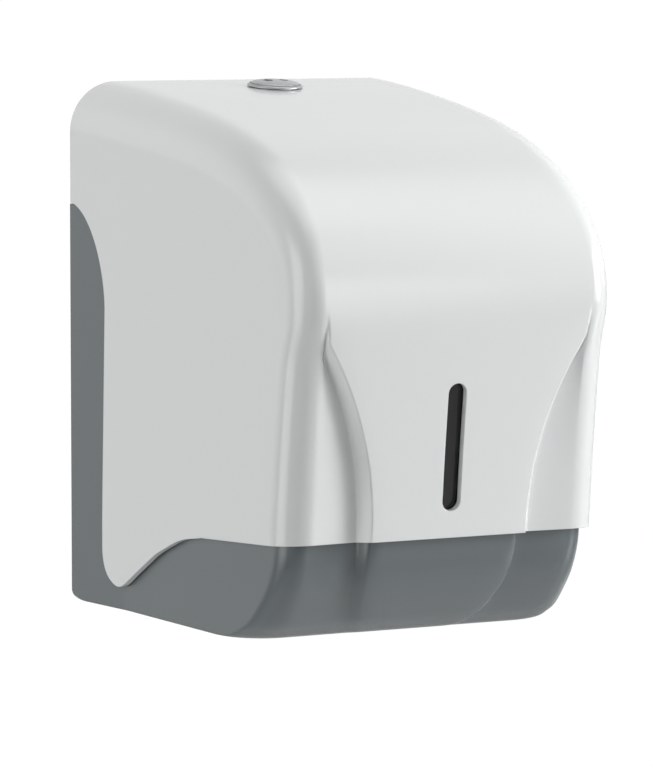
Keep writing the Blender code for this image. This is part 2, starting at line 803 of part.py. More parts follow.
def buildCover():
    made = material("cover_white", whiteGloss, 0.12)
    cover = objectFrom(coverSolid(0.0, 0.0, matingGap), "front_cover", made)
    cut(cover, coverSolid(coverWall, coverSideWall, cutOverrun))
    ring = coverOutline(0.0)
    ring += [(wallGap, coverShellTop), (bodyDepth + cutOverrun, coverShellTop)]
    reach = halfBack + cutOverrun
    keep = prismMesh([point(-reach, d, z) for d, z in ring], Vector((2 * reach, 0, 0)))
    booleanWith(cover, keep, "INTERSECT")

    slot = stadium(slotLength, slotWidth)
    opening = prismMesh([Vector((x, y, -cutOverrun)) for x, y in slot],
                        Vector((0, 0, 2 * cutOverrun)))
    cut(cover, place(opening, windowMatrix(0.0)))
    holes = bmesh.new()
    join(holes, place(cylinderMesh(lockClearRadius, -cutOverrun, cutOverrun), lockMatrix))
    for x, y in pegPlaces():
        peg = cylinderMesh(pegRadius + pegClearance, -cutOverrun, pegLength, smallRoundSegments)
        spot = windowMatrix(coverWall) @ Matrix.Translation(Vector((x, y, 0)))
        join(holes, place(peg, spot))
    socketRadius = hingePinRadius + hingePinClearance
    for side in (-1, 1):
        inner = coverHalfWidth(hingeDepth) - coverSideWall
        socket = cylinderMesh(socketRadius, -cutOverrun, hingeSocketDepth)
        if side < 0:
            socket = cylinderMesh(socketRadius, -hingeSocketDepth, cutOverrun)
        join(holes, place(socket, alongX(side * inner, hingeDepth, hingeHeight)))
    cut(cover, holes)
    return finish(cover)


def buildWindow():
    pane = boxMesh((-paneWidth / 2, -paneLength / 2, -matingGap - paneThickness),
                   (paneWidth / 2, paneLength / 2, -matingGap))
    smoke = material("window_smoke", smokeBlack, 0.08, 0.0, 0.85)
    objectFrom(place(pane, windowMatrix(coverWall)), "window_pane", smoke)

    made = material("retainer_white", whiteGloss, 0.4)
    frontFace = -matingGap
    frame = boxMesh((-retainerWidth / 2, -retainerLength / 2, frontFace - retainerThickness),
                    (retainerWidth / 2, retainerLength / 2, frontFace))
    retainer = objectFrom(place(frame, windowMatrix(coverWall)), "window_retainer", made)
    pocketX = paneWidth / 2 + matingGap
    pocketY = paneLength / 2 + matingGap
    pocket = boxMesh((-pocketX, -pocketY, frontFace - paneThickness - matingGap),
                     (pocketX, pocketY, frontFace + cutOverrun))
    cut(retainer, place(pocket, windowMatrix(coverWall)))
    sightX = paneWidth / 2 - retainerLip
    sightY = paneLength / 2 - retainerLip
    sight = boxMesh((-sightX, -sightY, -cutOverrun), (sightX, sightY, cutOverrun))
    cut(retainer, place(sight, windowMatrix(coverWall)))
    for x, y in pegPlaces():
        peg = cylinderMesh(pegRadius, -retainerThickness / 2, pegLength - matingGap,
                           smallRoundSegments)
        spot = windowMatrix(coverWall) @ Matrix.Translation(Vector((x, y, 0)))
        fuse(retainer, place(peg, spot))
    finish(retainer)


# Lock

def buildLock():
    silver = material("lock_ring_grey", lockSilver, 0.35)
    seat = matingGap
    ring = [(lockBoreRadius, -lockSleeveLength), (lockSleeveRadius, -lockSleeveLength),
            (lockSleeveRadius, seat), (lockFlangeRadius, seat),
            (lockFlangeRadius, seat + lockFlangeThickness / 2),
            (lockFlangeRadius - lockFlangeThickness / 2, seat + lockFlangeThickness),
            (lockDomeRadius + matingGap, seat + lockFlangeThickness),
            (lockDomeRadius + matingGap, seat + lockFlangeThickness / 2),
            (lockBoreRadius, seat + lockFlangeThickness / 2)]
    objectFrom(place(turnedMesh(ring), lockMatrix), "lock_ring", silver)

    clipTop = -coverWall - matingGap
    clip = [(lockSleeveRadius + clipClearance, clipTop - clipThickness),
            (clipRadius, clipTop - clipThickness), (clipRadius, clipTop),
            (lockSleeveRadius + clipClearance, clipTop)]
    clipGrey = material("lock_clip_steel", steelGrey, 0.35, 1.0)
    objectFrom(place(turnedMesh(clip), lockMatrix), "lock_clip", clipGrey)

    domeFoot = seat + lockFlangeThickness / 2 + matingGap
    barrelSilver = material("lock_barrel_grey", lockSilver, 0.25)
    body = [(0, -lockBarrelLength), (lockBarrelRadius, -lockBarrelLength),
            (lockBarrelRadius, domeFoot), (lockDomeRadius, domeFoot)]
    for k in range(1, 6):
        angle = pi / 2 * k / 5
        radius = lockDomeRadius * cos(angle) if k < 5 else 0
        body.append((radius, domeFoot + lockDomeHeight * sin(angle)))
    barrel = objectFrom(place(turnedMesh(body), lockMatrix), "lock_barrel", barrelSilver)
    cuts = bmesh.new()
    for side in (-1, 1):
        outline = [Vector((side * keyHoleOffset + keyHoleWidth * cos(2 * pi * k / 12),
                           keyHoleLength * sin(2 * pi * k / 12), domeFoot - keyHoleDepth))
                   for k in range(12)]
        join(cuts, place(prismMesh(outline, Vector((0, 0, keyHoleDepth + cutOverrun))), lockMatrix))
    pilot = cylinderMesh(camScrewRadius + screwHoleClearance, -lockBarrelLength - cutOverrun,
                         -lockBarrelLength + camScrewLength - camThickness, smallRoundSegments)
    join(cuts, place(pilot, lockMatrix))
    cut(barrel, cuts)
    finish(barrel)

    # Cam at rest along +X, with a tab that hangs from its end
    camGrey = material("lock_cam_steel", steelGrey, 0.35, 1.0)
    plate = [(camLength, -camWidth / 2), (camLength, camWidth / 2)]
    for k in range(9):
        angle = pi / 2 + pi * k / 8
        plate.append((camWidth / 2 * cos(angle), camWidth / 2 * sin(angle)))
    camPlate = prismMesh([Vector((x, y, camBottom)) for x, y in plate],
                         Vector((0, 0, camThickness)))
    cam = objectFrom(camPlate, "lock_cam", camGrey)
    tab = boxMesh((camLength - camTabThickness, -camWidth / 2, camBottom - camTabDepth),
                  (camLength, camWidth / 2, camTop))
    fuse(cam, tab)
    hole = cylinderMesh(camScrewRadius + screwHoleClearance, camBottom - cutOverrun,
                        camTop + cutOverrun, smallRoundSegments)
    cut(cam, hole)
    cam.data.transform(lockMatrix)
    finish(cam)

    screwSteel = material("cam_screw_steel", steelGrey, 0.3, 1.0)
    seatMatrix = lockMatrix @ Matrix.Translation(Vector((0, 0, camBottom - matingGap)))
    seatMatrix = seatMatrix @ Matrix.Rotation(pi, 4, "X")
    addScrews(["lock_cam_screw"], [seatMatrix], screwSteel, camScrewHeadRadius,
              camScrewHeadHeight, camScrewRadius, camScrewLength)


def buildKeeper():
    """Bracket on the back plate whose upright lip stands in front of the turned cam's tab."""
    steel = material("keeper_steel", steelGrey, 0.35, 1.0)
    face = backPlateThickness + matingGap
    half = keeperWidth / 2
    wide = keeperFlangeWidth / 2
    flange = boxMesh(point(-wide, face + keeperThickness, keeperFlangeTop - keeperFlangeHeight),
                     point(wide, face, keeperFlangeTop))
    keeper = objectFrom(flange, "latch_keeper", steel)
    shelf = boxMesh(point(-half, keeperLipFront + keeperThickness, keeperShelfTop - keeperThickness),
                    point(half, face, keeperShelfTop))
    fuse(keeper, shelf)
    lip = boxMesh(point(-half, keeperLipFront + keeperThickness, keeperShelfTop - keeperThickness),
                  point(half, keeperLipFront, keeperShelfTop + keeperLipHeight))
    fuse(keeper, lip)
    holes = bmesh.new()
    for matrix in keeperScrewPlaces():
        drill = cylinderMesh(smallScrewRadius + screwHoleClearance, -keeperThickness - cutOverrun,
                             cutOverrun, smallRoundSegments)
        join(holes, place(drill, matrix))
    cut(keeper, holes)
    finish(keeper)


# Hinge pins, roll arms and spindle

def buildHingePins():
    for side, name in ((-1, "hinge_pin_left"), (1, "hinge_pin_right")):
        steel = material(name + "_steel", steelGrey, 0.3, 1.0)
        wallInner = baseHalfWidth(hingeDepth) - baseWall
        tip = coverHalfWidth(hingeDepth) - coverSideWall + hingeSocketDepth - matingGap
        headEnd = wallInner - matingGap
        pin = [(0, headEnd - hingeHeadThickness), (hingeHeadRadius, headEnd - hingeHeadThickness),
               (hingeHeadRadius, headEnd), (hingePinRadius, headEnd), (hingePinRadius, tip),
               (0, tip)]
        matrix = Matrix.Translation(point(0.0, hingeDepth, hingeHeight))
        matrix = matrix @ Matrix.Rotation(side * pi / 2, 4, "Y")
        objectFrom(place(turnedMesh(pin, smallRoundSegments), matrix), name, steel)


def buildArms():
    for side, name in ((-1, "roll_arm_left"), (1, "roll_arm_right")):
        made = material(name + "_grey", innerGrey, 0.45)
        face = backPlateThickness + matingGap
        half = armFlangeHeight / 2
        outline = [(face, spindleHeight + half), (face, spindleHeight - half),
                   (face + armFlangeThickness, spindleHeight - half)]
        for k in range(11):
            angle = -pi / 2 + pi * k / 10
            outline.append((spindleDepth + armTipRadius * cos(angle),
                            spindleHeight + armTipRadius * sin(angle)))
        outline.append((face + armFlangeThickness, spindleHeight + half))
        inner = side * rollWidth / 2
        web = prismMesh([point(inner, d, z) for d, z in outline],
                        Vector((side * armThickness, 0, 0)))
        arm = objectFrom(web, name, made)
        ends = sorted((inner + side * armThickness / 2, inner - side * (armFlangeWidth - armThickness)))
        flange = boxMesh(point(ends[0], face + armFlangeThickness, spindleHeight - half),
                         point(ends[1], face, spindleHeight + half))
        fuse(arm, flange)
        holes = bmesh.new()
        socket = cylinderMesh(armSocketRadius, -cutOverrun, cutOverrun)
        join(holes, place(socket, alongX(inner, spindleDepth, spindleHeight)))
        for matrix in armScrewPlaces():
            if (matrix.translation.x > 0) == (side > 0):
                drill = cylinderMesh(smallScrewRadius + screwHoleClearance,
                                     -armFlangeThickness - cutOverrun, cutOverrun,
                                     smallRoundSegments)
                join(holes, place(drill, matrix))
        cut(arm, holes)
        finish(arm)


def buildSpindle():
    axis = Matrix.Translation(point(0.0, spindleDepth, spindleHeight)) @ Matrix.Rotation(pi / 2, 4, "Y")
    leftEnd = -rollWidth / 2 + spindleEndGap
    rightEnd = -leftEnd
    sleeve = [(0, leftEnd - stubLength), (stubRadius, leftEnd - stubLength), (stubRadius, leftEnd),
              (sleeveRadius, leftEnd), (sleeveRadius, leftEnd + sleeveLength),
              (sleeveBore, leftEnd + sleeveLength), (sleeveBore, leftEnd + spindleEndWall),
              (0, leftEnd + spindleEndWall)]
    sleeveGrey = material("spindle_sleeve_grey", innerGrey, 0.4)
    objectFrom(place(turnedMesh(sleeve), axis), "spindle_sleeve", sleeveGrey)
    plunger = [(0, rightEnd + stubLength), (stubRadius, rightEnd + stubLength),
               (stubRadius, rightEnd), (plungerRadius, rightEnd),
               (plungerRadius, rightEnd - plungerLength), (plungerBore, rightEnd - plungerLength),
               (plungerBore, rightEnd - spindleEndWall), (0, rightEnd - spindleEndWall)]
    plungerWhite = material("spindle_plunger_white", whiteGloss, 0.35)
    objectFrom(place(turnedMesh(plunger), axis), "spindle_plunger", plungerWhite)
    low = leftEnd + spindleEndWall + matingGap
    high = rightEnd - plungerLength - matingGap
    spring = [(springRadius, low), (springRadius + springWire, low),
              (springRadius + springWire, high), (springRadius, high)]
    springSteel = material("spindle_spring_steel", steelGrey, 0.3, 1.0)
    objectFrom(place(turnedMesh(spring, smallRoundSegments), axis), "spindle_spring", springSteel)


# Tear strip

def tearScrewPlaces():
    depth = outletEnd + tearStripDepth / 2
    seat = bottomThickness + matingGap + tearStripThickness + matingGap
    reach = tearStripWidth * tearScrewShare
    return [Matrix.Translation(point(side * reach, depth, seat)) for side in (-1, 0, 1)]


def buildTearStrip():
    steel = material("tear_strip_steel", steelGrey, 0.25, 1.0)
    half = tearStripWidth / 2
    back = outletEnd + tearStripDepth
    front = outletEnd - matingGap
    outline = [(half, back), (-half, back), (-half, front)]
    teeth = round(tearStripWidth / tearToothPitch)
    pitch = tearStripWidth / teeth
    for k in range(teeth):
        outline.append((-half + (k + 0.5) * pitch, front - tearToothLength))
        outline.append((-half + (k + 1) * pitch, front))
    seat = bottomThickness + matingGap
    strip = prismMesh([point(x, d, seat) for x, d in outline], Vector((0, 0, tearStripThickness)))
    tear = objectFrom(strip, "tear_strip", steel)
    holes = bmesh.new()
    for matrix in tearScrewPlaces():
        join(holes, place(cylinderMesh(smallScrewRadius + screwHoleClearance, -cutOverrun,
                                       cutOverrun, smallRoundSegments), matrix))
    cut(tear, holes)
    finish(tear)


def cutTearHoles(base):
    holes = bmesh.new()
    for matrix in tearScrewPlaces():
        drill = cylinderMesh(smallScrewRadius + screwHoleClearance, -bottomThickness - cutOverrun,
                             cutOverrun, smallRoundSegments)
        join(holes, place(drill, matrix))
    cut(base, holes)


def moveToOrigin():
    """Moves the model to its origin, and gives each moving piece its own origin on its joint."""
    origin = point(0.0, 0.0, wallHoleCentreHeight)
    hinge = point(0.0, hingeDepth, hingeHeight)
    spindle = point(0.0, spindleDepth, spindleHeight)
    lock = lockMatrix.translation
    joints = {"front_cover": hinge, "window_pane": hinge, "window_retainer": hinge,
              "lock_ring": hinge, "lock_clip": hinge, "lock_barrel": lock, "lock_cam": lock,
              "lock_cam_screw": lock, "spindle_sleeve": spindle, "spindle_plunger": spindle,
              "spindle_spring": spindle}
    for item in bpy.data.objects:
        spot = joints.get(item.name, origin)
        item.data.transform(Matrix.Translation(-spot))
        item.location = spot - origin


base = buildBase()
cutTearHoles(base)
cutBaseHoles(base)
buildCover()
buildWindow()
buildLock()
buildKeeper()
buildSmallScrews()
buildHingePins()
buildArms()
buildSpindle()
buildTearStrip()
moveToOrigin()
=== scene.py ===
import json
from bisect import bisect_right
from itertools import accumulate
from math import atan, atan2, cos, exp, pi, radians, sin, sqrt, tan

import bmesh
import bpy
from mathutils import Matrix, Vector


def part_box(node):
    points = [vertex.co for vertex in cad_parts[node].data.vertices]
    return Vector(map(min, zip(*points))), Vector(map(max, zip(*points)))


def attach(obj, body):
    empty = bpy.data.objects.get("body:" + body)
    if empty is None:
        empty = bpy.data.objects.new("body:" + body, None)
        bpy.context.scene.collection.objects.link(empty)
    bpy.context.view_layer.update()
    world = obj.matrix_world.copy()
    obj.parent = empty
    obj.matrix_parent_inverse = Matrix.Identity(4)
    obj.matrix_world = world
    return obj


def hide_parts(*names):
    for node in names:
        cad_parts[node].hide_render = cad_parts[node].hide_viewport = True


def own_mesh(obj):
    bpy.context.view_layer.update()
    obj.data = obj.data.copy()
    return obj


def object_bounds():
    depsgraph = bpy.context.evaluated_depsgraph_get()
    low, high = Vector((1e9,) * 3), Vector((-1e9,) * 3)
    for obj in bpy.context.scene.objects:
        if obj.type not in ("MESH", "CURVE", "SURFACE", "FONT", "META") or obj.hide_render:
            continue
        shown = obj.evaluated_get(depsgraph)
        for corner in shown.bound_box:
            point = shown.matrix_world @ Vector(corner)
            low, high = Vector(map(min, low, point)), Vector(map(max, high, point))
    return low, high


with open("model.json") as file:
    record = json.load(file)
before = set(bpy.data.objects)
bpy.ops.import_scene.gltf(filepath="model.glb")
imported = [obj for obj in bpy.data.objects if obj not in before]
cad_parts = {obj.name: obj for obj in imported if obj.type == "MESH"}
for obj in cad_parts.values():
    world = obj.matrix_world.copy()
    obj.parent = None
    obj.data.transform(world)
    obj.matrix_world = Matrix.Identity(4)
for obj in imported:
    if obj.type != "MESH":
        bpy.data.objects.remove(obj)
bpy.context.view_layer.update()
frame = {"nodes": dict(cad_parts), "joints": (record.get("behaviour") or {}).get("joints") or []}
joints = {joint["name"]: joint for joint in frame["joints"]}
scene = bpy.context.scene
print("frame loaded with", len(frame["nodes"]), "nodes")


# Camera: fitted to the outline in the photo, aimed at the middle of the object's height

cameraSetup = {
    "azimuth": radians(-27), "elevation": radians(4.921), "distance": 1.4089,
    "target": Vector((0.0, -0.060, -0.012)), "lens": 207.784, "sensor": 36, "clipEnd": 500,
    "shiftX": -0.00067, "shiftY": -0.04657,
}


def aimed(name, data, around, up, distance):
    # stands at this azimuth and elevation from the target, and looks at it
    away = Vector((sin(around) * cos(up), -cos(around) * cos(up), sin(up)))
    made = bpy.data.objects.new(name, data)
    made.location = cameraSetup["target"] + away * distance
    made.rotation_mode = "QUATERNION"
    made.rotation_quaternion = away.to_track_quat("Z", "Y")
    scene.collection.objects.link(made)
    return made


cameraData = bpy.data.cameras.new("photoCamera")
cameraData.lens = cameraSetup["lens"]
cameraData.sensor_width = cameraSetup["sensor"]
cameraData.shift_x = cameraSetup["shiftX"]
cameraData.shift_y = cameraSetup["shiftY"]
cameraData.clip_end = cameraSetup["clipEnd"]
scene.camera = aimed("photoCamera", cameraData, cameraSetup["azimuth"],
                     cameraSetup["elevation"], cameraSetup["distance"])


# Small mesh tools

def meshObject(name, bm, material=None):
    bmesh.ops.recalc_face_normals(bm, faces=bm.faces)
    mesh = bpy.data.meshes.new(name)
    bm.to_mesh(mesh)
    bm.free()
    made = bpy.data.objects.new(name, mesh)
    scene.collection.objects.link(made)
    if material:
        mesh.materials.append(material)
    return made


def settle(made):
    # turns live modifiers into a plain mesh
    graph = bpy.context.evaluated_depsgraph_get()
    plain = bpy.data.meshes.new_from_object(made.evaluated_get(graph))
    plain.name = made.name
    made.modifiers.clear()
    old = made.data
    made.data = plain
    bpy.data.meshes.remove(old)
    return made


def freeze(made, sharpAngle=30):
    # smooth shading that leaves the large faces flat
    made.data.shade_smooth()
    made.data.set_sharp_from_angle(angle=radians(sharpAngle))
    normals = made.modifiers.new("flatFaces", "WEIGHTED_NORMAL")
    normals.mode = "FACE_AREA_WITH_ANGLE"
    normals.keep_sharp = True
    normals.weight = 60
    return settle(made)


def loft(loops):
    bm = bmesh.new()
    rings = [[bm.verts.new(p) for p in loop] for loop in loops]
    count = len(rings[0])
    for lower, upper in zip(rings, rings[1:]):
        for k in range(count):
            after = (k + 1) % count
            bm.faces.new((lower[k], lower[after], upper[after], upper[k]))
    bm.faces.new(rings[0][::-1])
    bm.faces.new(rings[-1])
    return bm


def sweep(outline, offset):
    return loft([outline, [Vector(p) + Vector(offset) for p in outline]])


def block(low, high):
    corners = [(low[0], low[1]), (high[0], low[1]), (high[0], high[1]), (low[0], high[1])]
    return sweep([(x, y, low[2]) for x, y in corners], (0, 0, high[2] - low[2]))


def turned(profile, segments):
    bm = bmesh.new()
    turns = [2 * pi * k / segments for k in range(segments)]
    rings = [[bm.verts.new((radius * cos(turn), radius * sin(turn), height))
              for turn in (turns if radius else turns[:1])] for radius, height in profile]
    pairs = list(zip(rings, rings[1:]))
    if len(rings[0]) > 1 and len(rings[-1]) > 1:
        pairs.append((rings[-1], rings[0]))
    for lower, upper in pairs:
        for k in range(segments):
            after = (k + 1) % segments
            ring = [lower[k % len(lower)], lower[after % len(lower)],
                    upper[after % len(upper)], upper[k % len(upper)]]
            face = list(dict.fromkeys(ring))
            if len(face) > 2:
                bm.faces.new(face)
    return bm


def rod(radius, low, high, segments=32):
    return turned([(0, low), (radius, low), (radius, high), (0, high)], segments)


def put(bm, matrix):
    bmesh.ops.transform(bm, matrix=matrix, verts=bm.verts)
    return bm


def drill(radius, low, high, spot, turn=Matrix(), segments=32):
    return put(rod(radius, low, high, segments), Matrix.Translation(spot) @ turn)


def gather(parts):
    together = bmesh.new()
    for part in parts:
        bmesh.ops.recalc_face_normals(part, faces=part.faces)
        mesh = bpy.data.meshes.new("part")
        part.to_mesh(mesh)
        part.free()
        together.from_mesh(mesh)
        bpy.data.meshes.remove(mesh)
    return together


def combine(target, toolMesh, operation):
    tool = meshObject("tool", toolMesh)
    change = target.modifiers.new("shape", "BOOLEAN")
    change.object = tool
    change.operation = operation
    change.solver = "EXACT"
    settle(target)
    bpy.data.objects.remove(tool, do_unlink=True)


def cut(target, toolMesh):
    combine(target, toolMesh, "DIFFERENCE")


alongX, intoWall = Matrix.Rotation(pi / 2, 4, "Y"), Matrix.Rotation(pi / 2, 4, "X")


def quarter(steps):
    # cosine and sine at even steps over a quarter turn
    return [(cos(pi / 2 * k / steps), sin(pi / 2 * k / steps)) for k in range(steps + 1)]


# The body's shared sizes in metres, with depth from the wall and height from the lowest point

body = {
    "height": 0.168, "depth": 0.14938, "halfBack": 0.0625, "taper": 0.058, "zeroHeight": 0.096,
    "gap": 0.0003, "past": 0.008,
}


def point(x, depth, height):
    return Vector((x, -depth, height - body["zeroHeight"]))


def smooth(value):
    value = min(max(value, 0.0), 1.0)
    return value * value * (3 - 2 * value)


def spline(near, steps, blend):
    # blends four neighbouring points at a time; the two outermost points only steer
    curve = []
    for four in zip(near, near[1:], near[2:], near[3:]):
        for step in range(steps):
            curve.append([blend(step / steps, *values) for values in zip(*four)])
    return curve + [list(near[-2])]


def curveThrough(points, steps):
    return spline([points[0], *points, points[-1]], steps, lambda u, a, b, c, d: 0.5 * (
        2 * b + (c - a) * u + (2 * a - 5 * b + 4 * c - d) * u ** 2
        + (3 * b - a - 3 * c + d) * u ** 3))


def curveNear(points, steps):
    # a cubic B-spline that starts and ends on the first and last point
    ends = [[2 * a - b for a, b in zip(points[k], points[j])] for k, j in ((0, 1), (-1, -2))]
    return spline([ends[0], *points, ends[1]], steps, lambda u, a, b, c, d: (
        (1 - u) ** 3 * a + (3 * u ** 3 - 6 * u ** 2 + 4) * b
        + (1 + 3 * u + 3 * u ** 2 - 3 * u ** 3) * c + u ** 3 * d) / 6)


def lengthsAlong(line):
    steps = [sqrt((a[0] - b[0]) ** 2 + (a[1] - b[1]) ** 2) for a, b in zip(line, line[1:])]
    return list(accumulate(steps, initial=0.0))


def spotAt(line, lengths, where):
    where = min(max(where, 0.0), lengths[-1])
    k = min(bisect_right(lengths, where), len(lengths) - 1) - 1
    share = (where - lengths[k]) / max(lengths[k + 1] - lengths[k], 1e-12)
    return [a + (b - a) * share for a, b in zip(line[k], line[k + 1])]


def evenSteps(line, spacing):
    lengths = lengthsAlong(line)
    count = int(round(lengths[-1] / spacing))
    return [spotAt(line, lengths, lengths[-1] * k / count) for k in range(count + 1)]


def relaxed(line, passes):
    for turn in range(passes):
        middle = [[(a + 2 * b + c) / 4 for a, b, c in zip(*three)]
                  for three in zip(line, line[1:], line[2:])]
        line = [line[0]] + middle + [line[-1]]
    return line


def normalsOf(line):
    # the direction square to the line at each of its points
    normals = []
    for before, after in zip(line[:1] + line, line[1:] + line[-1:]):
        along = Vector((after[0] - before[0], after[1] - before[1])).normalized()
        normals.append((along.y, -along.x))
    return normals


# Softened corners: samples to each side with their bell and spacing, the room left at the line's
# end, and how much crisper the crease stays, and over what run
softening = {"samples": 6, "bell": 3, "spacing": 2.5, "endRoom": 2.4, "crisp": 0.6, "crispRun": 2}


def softenedSpots(line, marks, counts, reach):
    # even spots in each stretch between the marks, with the line's corners softened; the crease
    # is at the third mark
    lengths = lengthsAlong(line)
    crease = lengths[marks[2]]
    spots = []
    for k, count in enumerate(counts):
        start, end = lengths[marks[k]], lengths[marks[k + 1]]
        spots += [start + (end - start) * step / count for step in range(count)]
    spots.append(lengths[marks[-1]])
    made = []
    for where in spots:
        width = min(reach, (lengths[-1] - where) / softening["endRoom"])
        away = (where - crease) / (softening["crispRun"] * reach)
        width *= 1 - softening["crisp"] * exp(-away ** 2)
        across, down, weights = 0.0, 0.0, 0.0
        for k in range(-softening["samples"], softening["samples"] + 1):
            weight = exp(-(k / softening["bell"]) ** 2)
            at = where + width * k / softening["spacing"]
            near = spotAt(line, lengths, abs(at))
            across += weight * (-near[0] if at < 0 else near[0])
            down += weight * near[1]
            weights += weight
        made.append((across / weights, down / weights))
    return made


# Cover

cover = {
    # share of the depth and of the height, then the corner's reach along the depth and across as
    # shares of the shoulder radius at the wall
    "profile": [
        (0.9226, 0.0, 0.65, 0.65), (0.9384, 0.1105, 0.65, 0.65), (0.9513, 0.2213, 0.648, 0.648),
        (0.9635, 0.3321, 0.638, 0.638), (0.9787, 0.4426, 0.617, 0.617),
        (0.9956, 0.5523, 0.589, 0.6), (1.0069, 0.6651, 0.64, 0.5), (0.953, 0.7698, 0.79, 0.62),
        (0.853, 0.843, 0.779, 0.82), (0.7397, 0.8913, 0.803, 0.805), (0.62, 0.9248, 0.851, 0.851),
        (0.4973, 0.9474, 0.904, 0.904), (0.3735, 0.9644, 0.942, 0.942),
        (0.2494, 0.979, 0.973, 0.973), (0.1249, 0.9917, 0.989, 0.989), (0.0, 1.0, 1.0, 1.0),
        (-0.1249, 1.0083, 1.0, 1.0),
    ],
    "shoulder": 0.016, "wall": 0.0022, "sideWall": 0.0020,
    "tongueFoot": 0.0264, "tongueFlare": 0.0206, "tonguePower": 2.2, "tongueFootHeight": 0.033,
    "tongueTop": 0.098, "stepWidth": 0.0031, "stepDepth": 0.005, "flankDrop": 0.0031,
    "flankTop": 0.084, "flankFade": 0.104, "crestRoom": 0.0012,
    "edgeHeight": 0.0297, "edgeStart": 0.087, "edgeSlope": 0.055,
    "stripDepth": 0.0238, "stripTop": 0.129, "stripArc": 0.033, "stripPower": 1.8,
    "tail": [
        (0.961, 0.980), (0.885, 0.949), (0.809, 0.889), (0.736, 0.805), (0.662, 0.717),
        (0.595, 0.609), (0.529, 0.498), (0.460, 0.380), (0.420, 0.310), (0.395, 0.276),
        (0.374, 0.263), (0.351, 0.269), (0.328, 0.293), (0.299, 0.333), (0.272, 0.404),
        (0.255, 0.505), (0.247, 0.623), (0.2475, 0.800), (0.2495, 1.150),
    ],
    "hingeDepth": 0.033, "hingeHeight": 0.012, "pinHole": 0.00186, "socketDepth": 0.0012,
    "slotLength": 0.0394, "slotWidth": 0.0062, "slotHeight": 0.060532, "slotSteps": 10,
    "lockHole": 0.0076, "curveSteps": 20, "outerSpacing": 0.0015, "innerSpacing": 0.0040,
    "outerCounts": (10, 14, 20, 20), "innerCounts": (4, 4, 4, 8), "arcSteps": 24,
    "softReach": 0.0006, "softGain": 2.3, "softFrom": 0.08, "softRun": 0.03, "sharpAngle": 32,
    "tailSteps": 8, "tailSpacing": 0.0012, "tailPasses": 3, "stripSteps": 28, "placeSteps": 3,
    "lockSegments": 48,
}

rough = [(d * body["depth"], h * body["height"], r * cover["shoulder"], s * cover["shoulder"])
         for d, h, r, s in cover["profile"]]
outerProfile = evenSteps(curveNear(rough, cover["curveSteps"]), cover["outerSpacing"])
innerProfile = evenSteps(curveNear(rough, cover["curveSteps"]), cover["innerSpacing"])


def coverHalf(depth):
    return body["halfBack"] - body["taper"] * depth


def lowerEdge(depth):
    return cover["edgeHeight"] + cover["edgeSlope"] * (depth - cover["edgeStart"])


def tongueHalf(height):
    rise = (height - cover["tongueFootHeight"]) / (cover["tongueTop"] - cover["tongueFootHeight"])
    return cover["tongueFoot"] + cover["tongueFlare"] * max(rise, 0.0) ** cover["tonguePower"]


def stepDrops(height):
    top, end = cover["flankTop"], cover["flankFade"]
    share = 1 - smooth((height - top) / (end - top))
    return cover["flankDrop"] * share, cover["stepDepth"] * share


def coverSection(depth, height, radius, spread, normal, inset, sideInset, counts, reach):
    flank, crease = stepDrops(height)
    endAngle = pi / 2 - atan(body["taper"] * max(normal[0], 0.0))
    fillet = radius - sideInset
    across = spread - sideInset
    drop = flank + inset
    endDepth = depth - normal[0] * (drop + fillet * (1 - cos(endAngle)))
    cornerX = coverHalf(endDepth) - sideInset - across * sin(endAngle)
    shift = inset * tan(atan2(cover["stepDepth"], cover["stepWidth"]) / 2)
    room = cover["crestRoom"]
    crestX = min(tongueHalf(height) - shift, cornerX - room)
    creaseX = min(crestX + cover["stepWidth"], cornerX - room / 4)
    line = [(0.0, -inset), (crestX, -inset), (creaseX, -inset - crease), (cornerX, -inset - flank)]
    arcSteps = cover["arcSteps"]
    for k in range(1, arcSteps + 1):
        turn = endAngle * k / arcSteps
        line.append((cornerX + across * sin(turn), -drop - fillet * (1 - cos(turn))))
    return softenedSpots(line, [0, 1, 2, 3, 3 + arcSteps], counts, reach)


def coverBlock(profile, inset, sideInset, overrun, counts):
    points = [list(p) for p in profile]
    slope = (points[1][0] - points[0][0]) / (points[1][1] - points[0][1])
    points.insert(0, [points[0][0] - slope * overrun, points[0][1] - overrun, *points[0][2:]])
    slope = (points[-2][1] - points[-1][1]) / (points[-2][0] - points[-1][0])
    points.append([points[-1][0] - overrun, points[-1][1] - slope * overrun, *points[-1][2:]])
    rows = []
    for (depth, height, radius, spread), normal in zip(points, normalsOf(points)):
        gain = 1 + cover["softGain"] * smooth((height - cover["softFrom"]) / cover["softRun"])
        section = coverSection(depth, height, radius, spread, normal, inset, sideInset, counts,
                               cover["softReach"] * gain)
        half = [(x, depth + normal[0] * h, height + normal[1] * h) for x, h in section]
        rows.append([(-x, d, z) for x, d, z in half[:0:-1]] + half)
    backDepth, lowHeight, widest = rows[-1][0][1], rows[0][0][2], rows[0][-1][0]
    reachX = coverHalf(backDepth) - sideInset
    rows.append([(x * reachX / widest, backDepth, lowHeight) for x, d, z in rows[0]])
    return loft([[point(*row[c]) for row in rows] for c in range(len(rows[0]))])


def stripEdge(steps):
    # the strip's rounded top, from its straight edge up to the wall
    start, power = cover["stripTop"] - cover["stripArc"], 2 / cover["stripPower"]
    return [(max(cover["stripDepth"] * c ** power, body["gap"]),
             start + cover["stripArc"] * s ** power) for c, s in quarter(steps)]


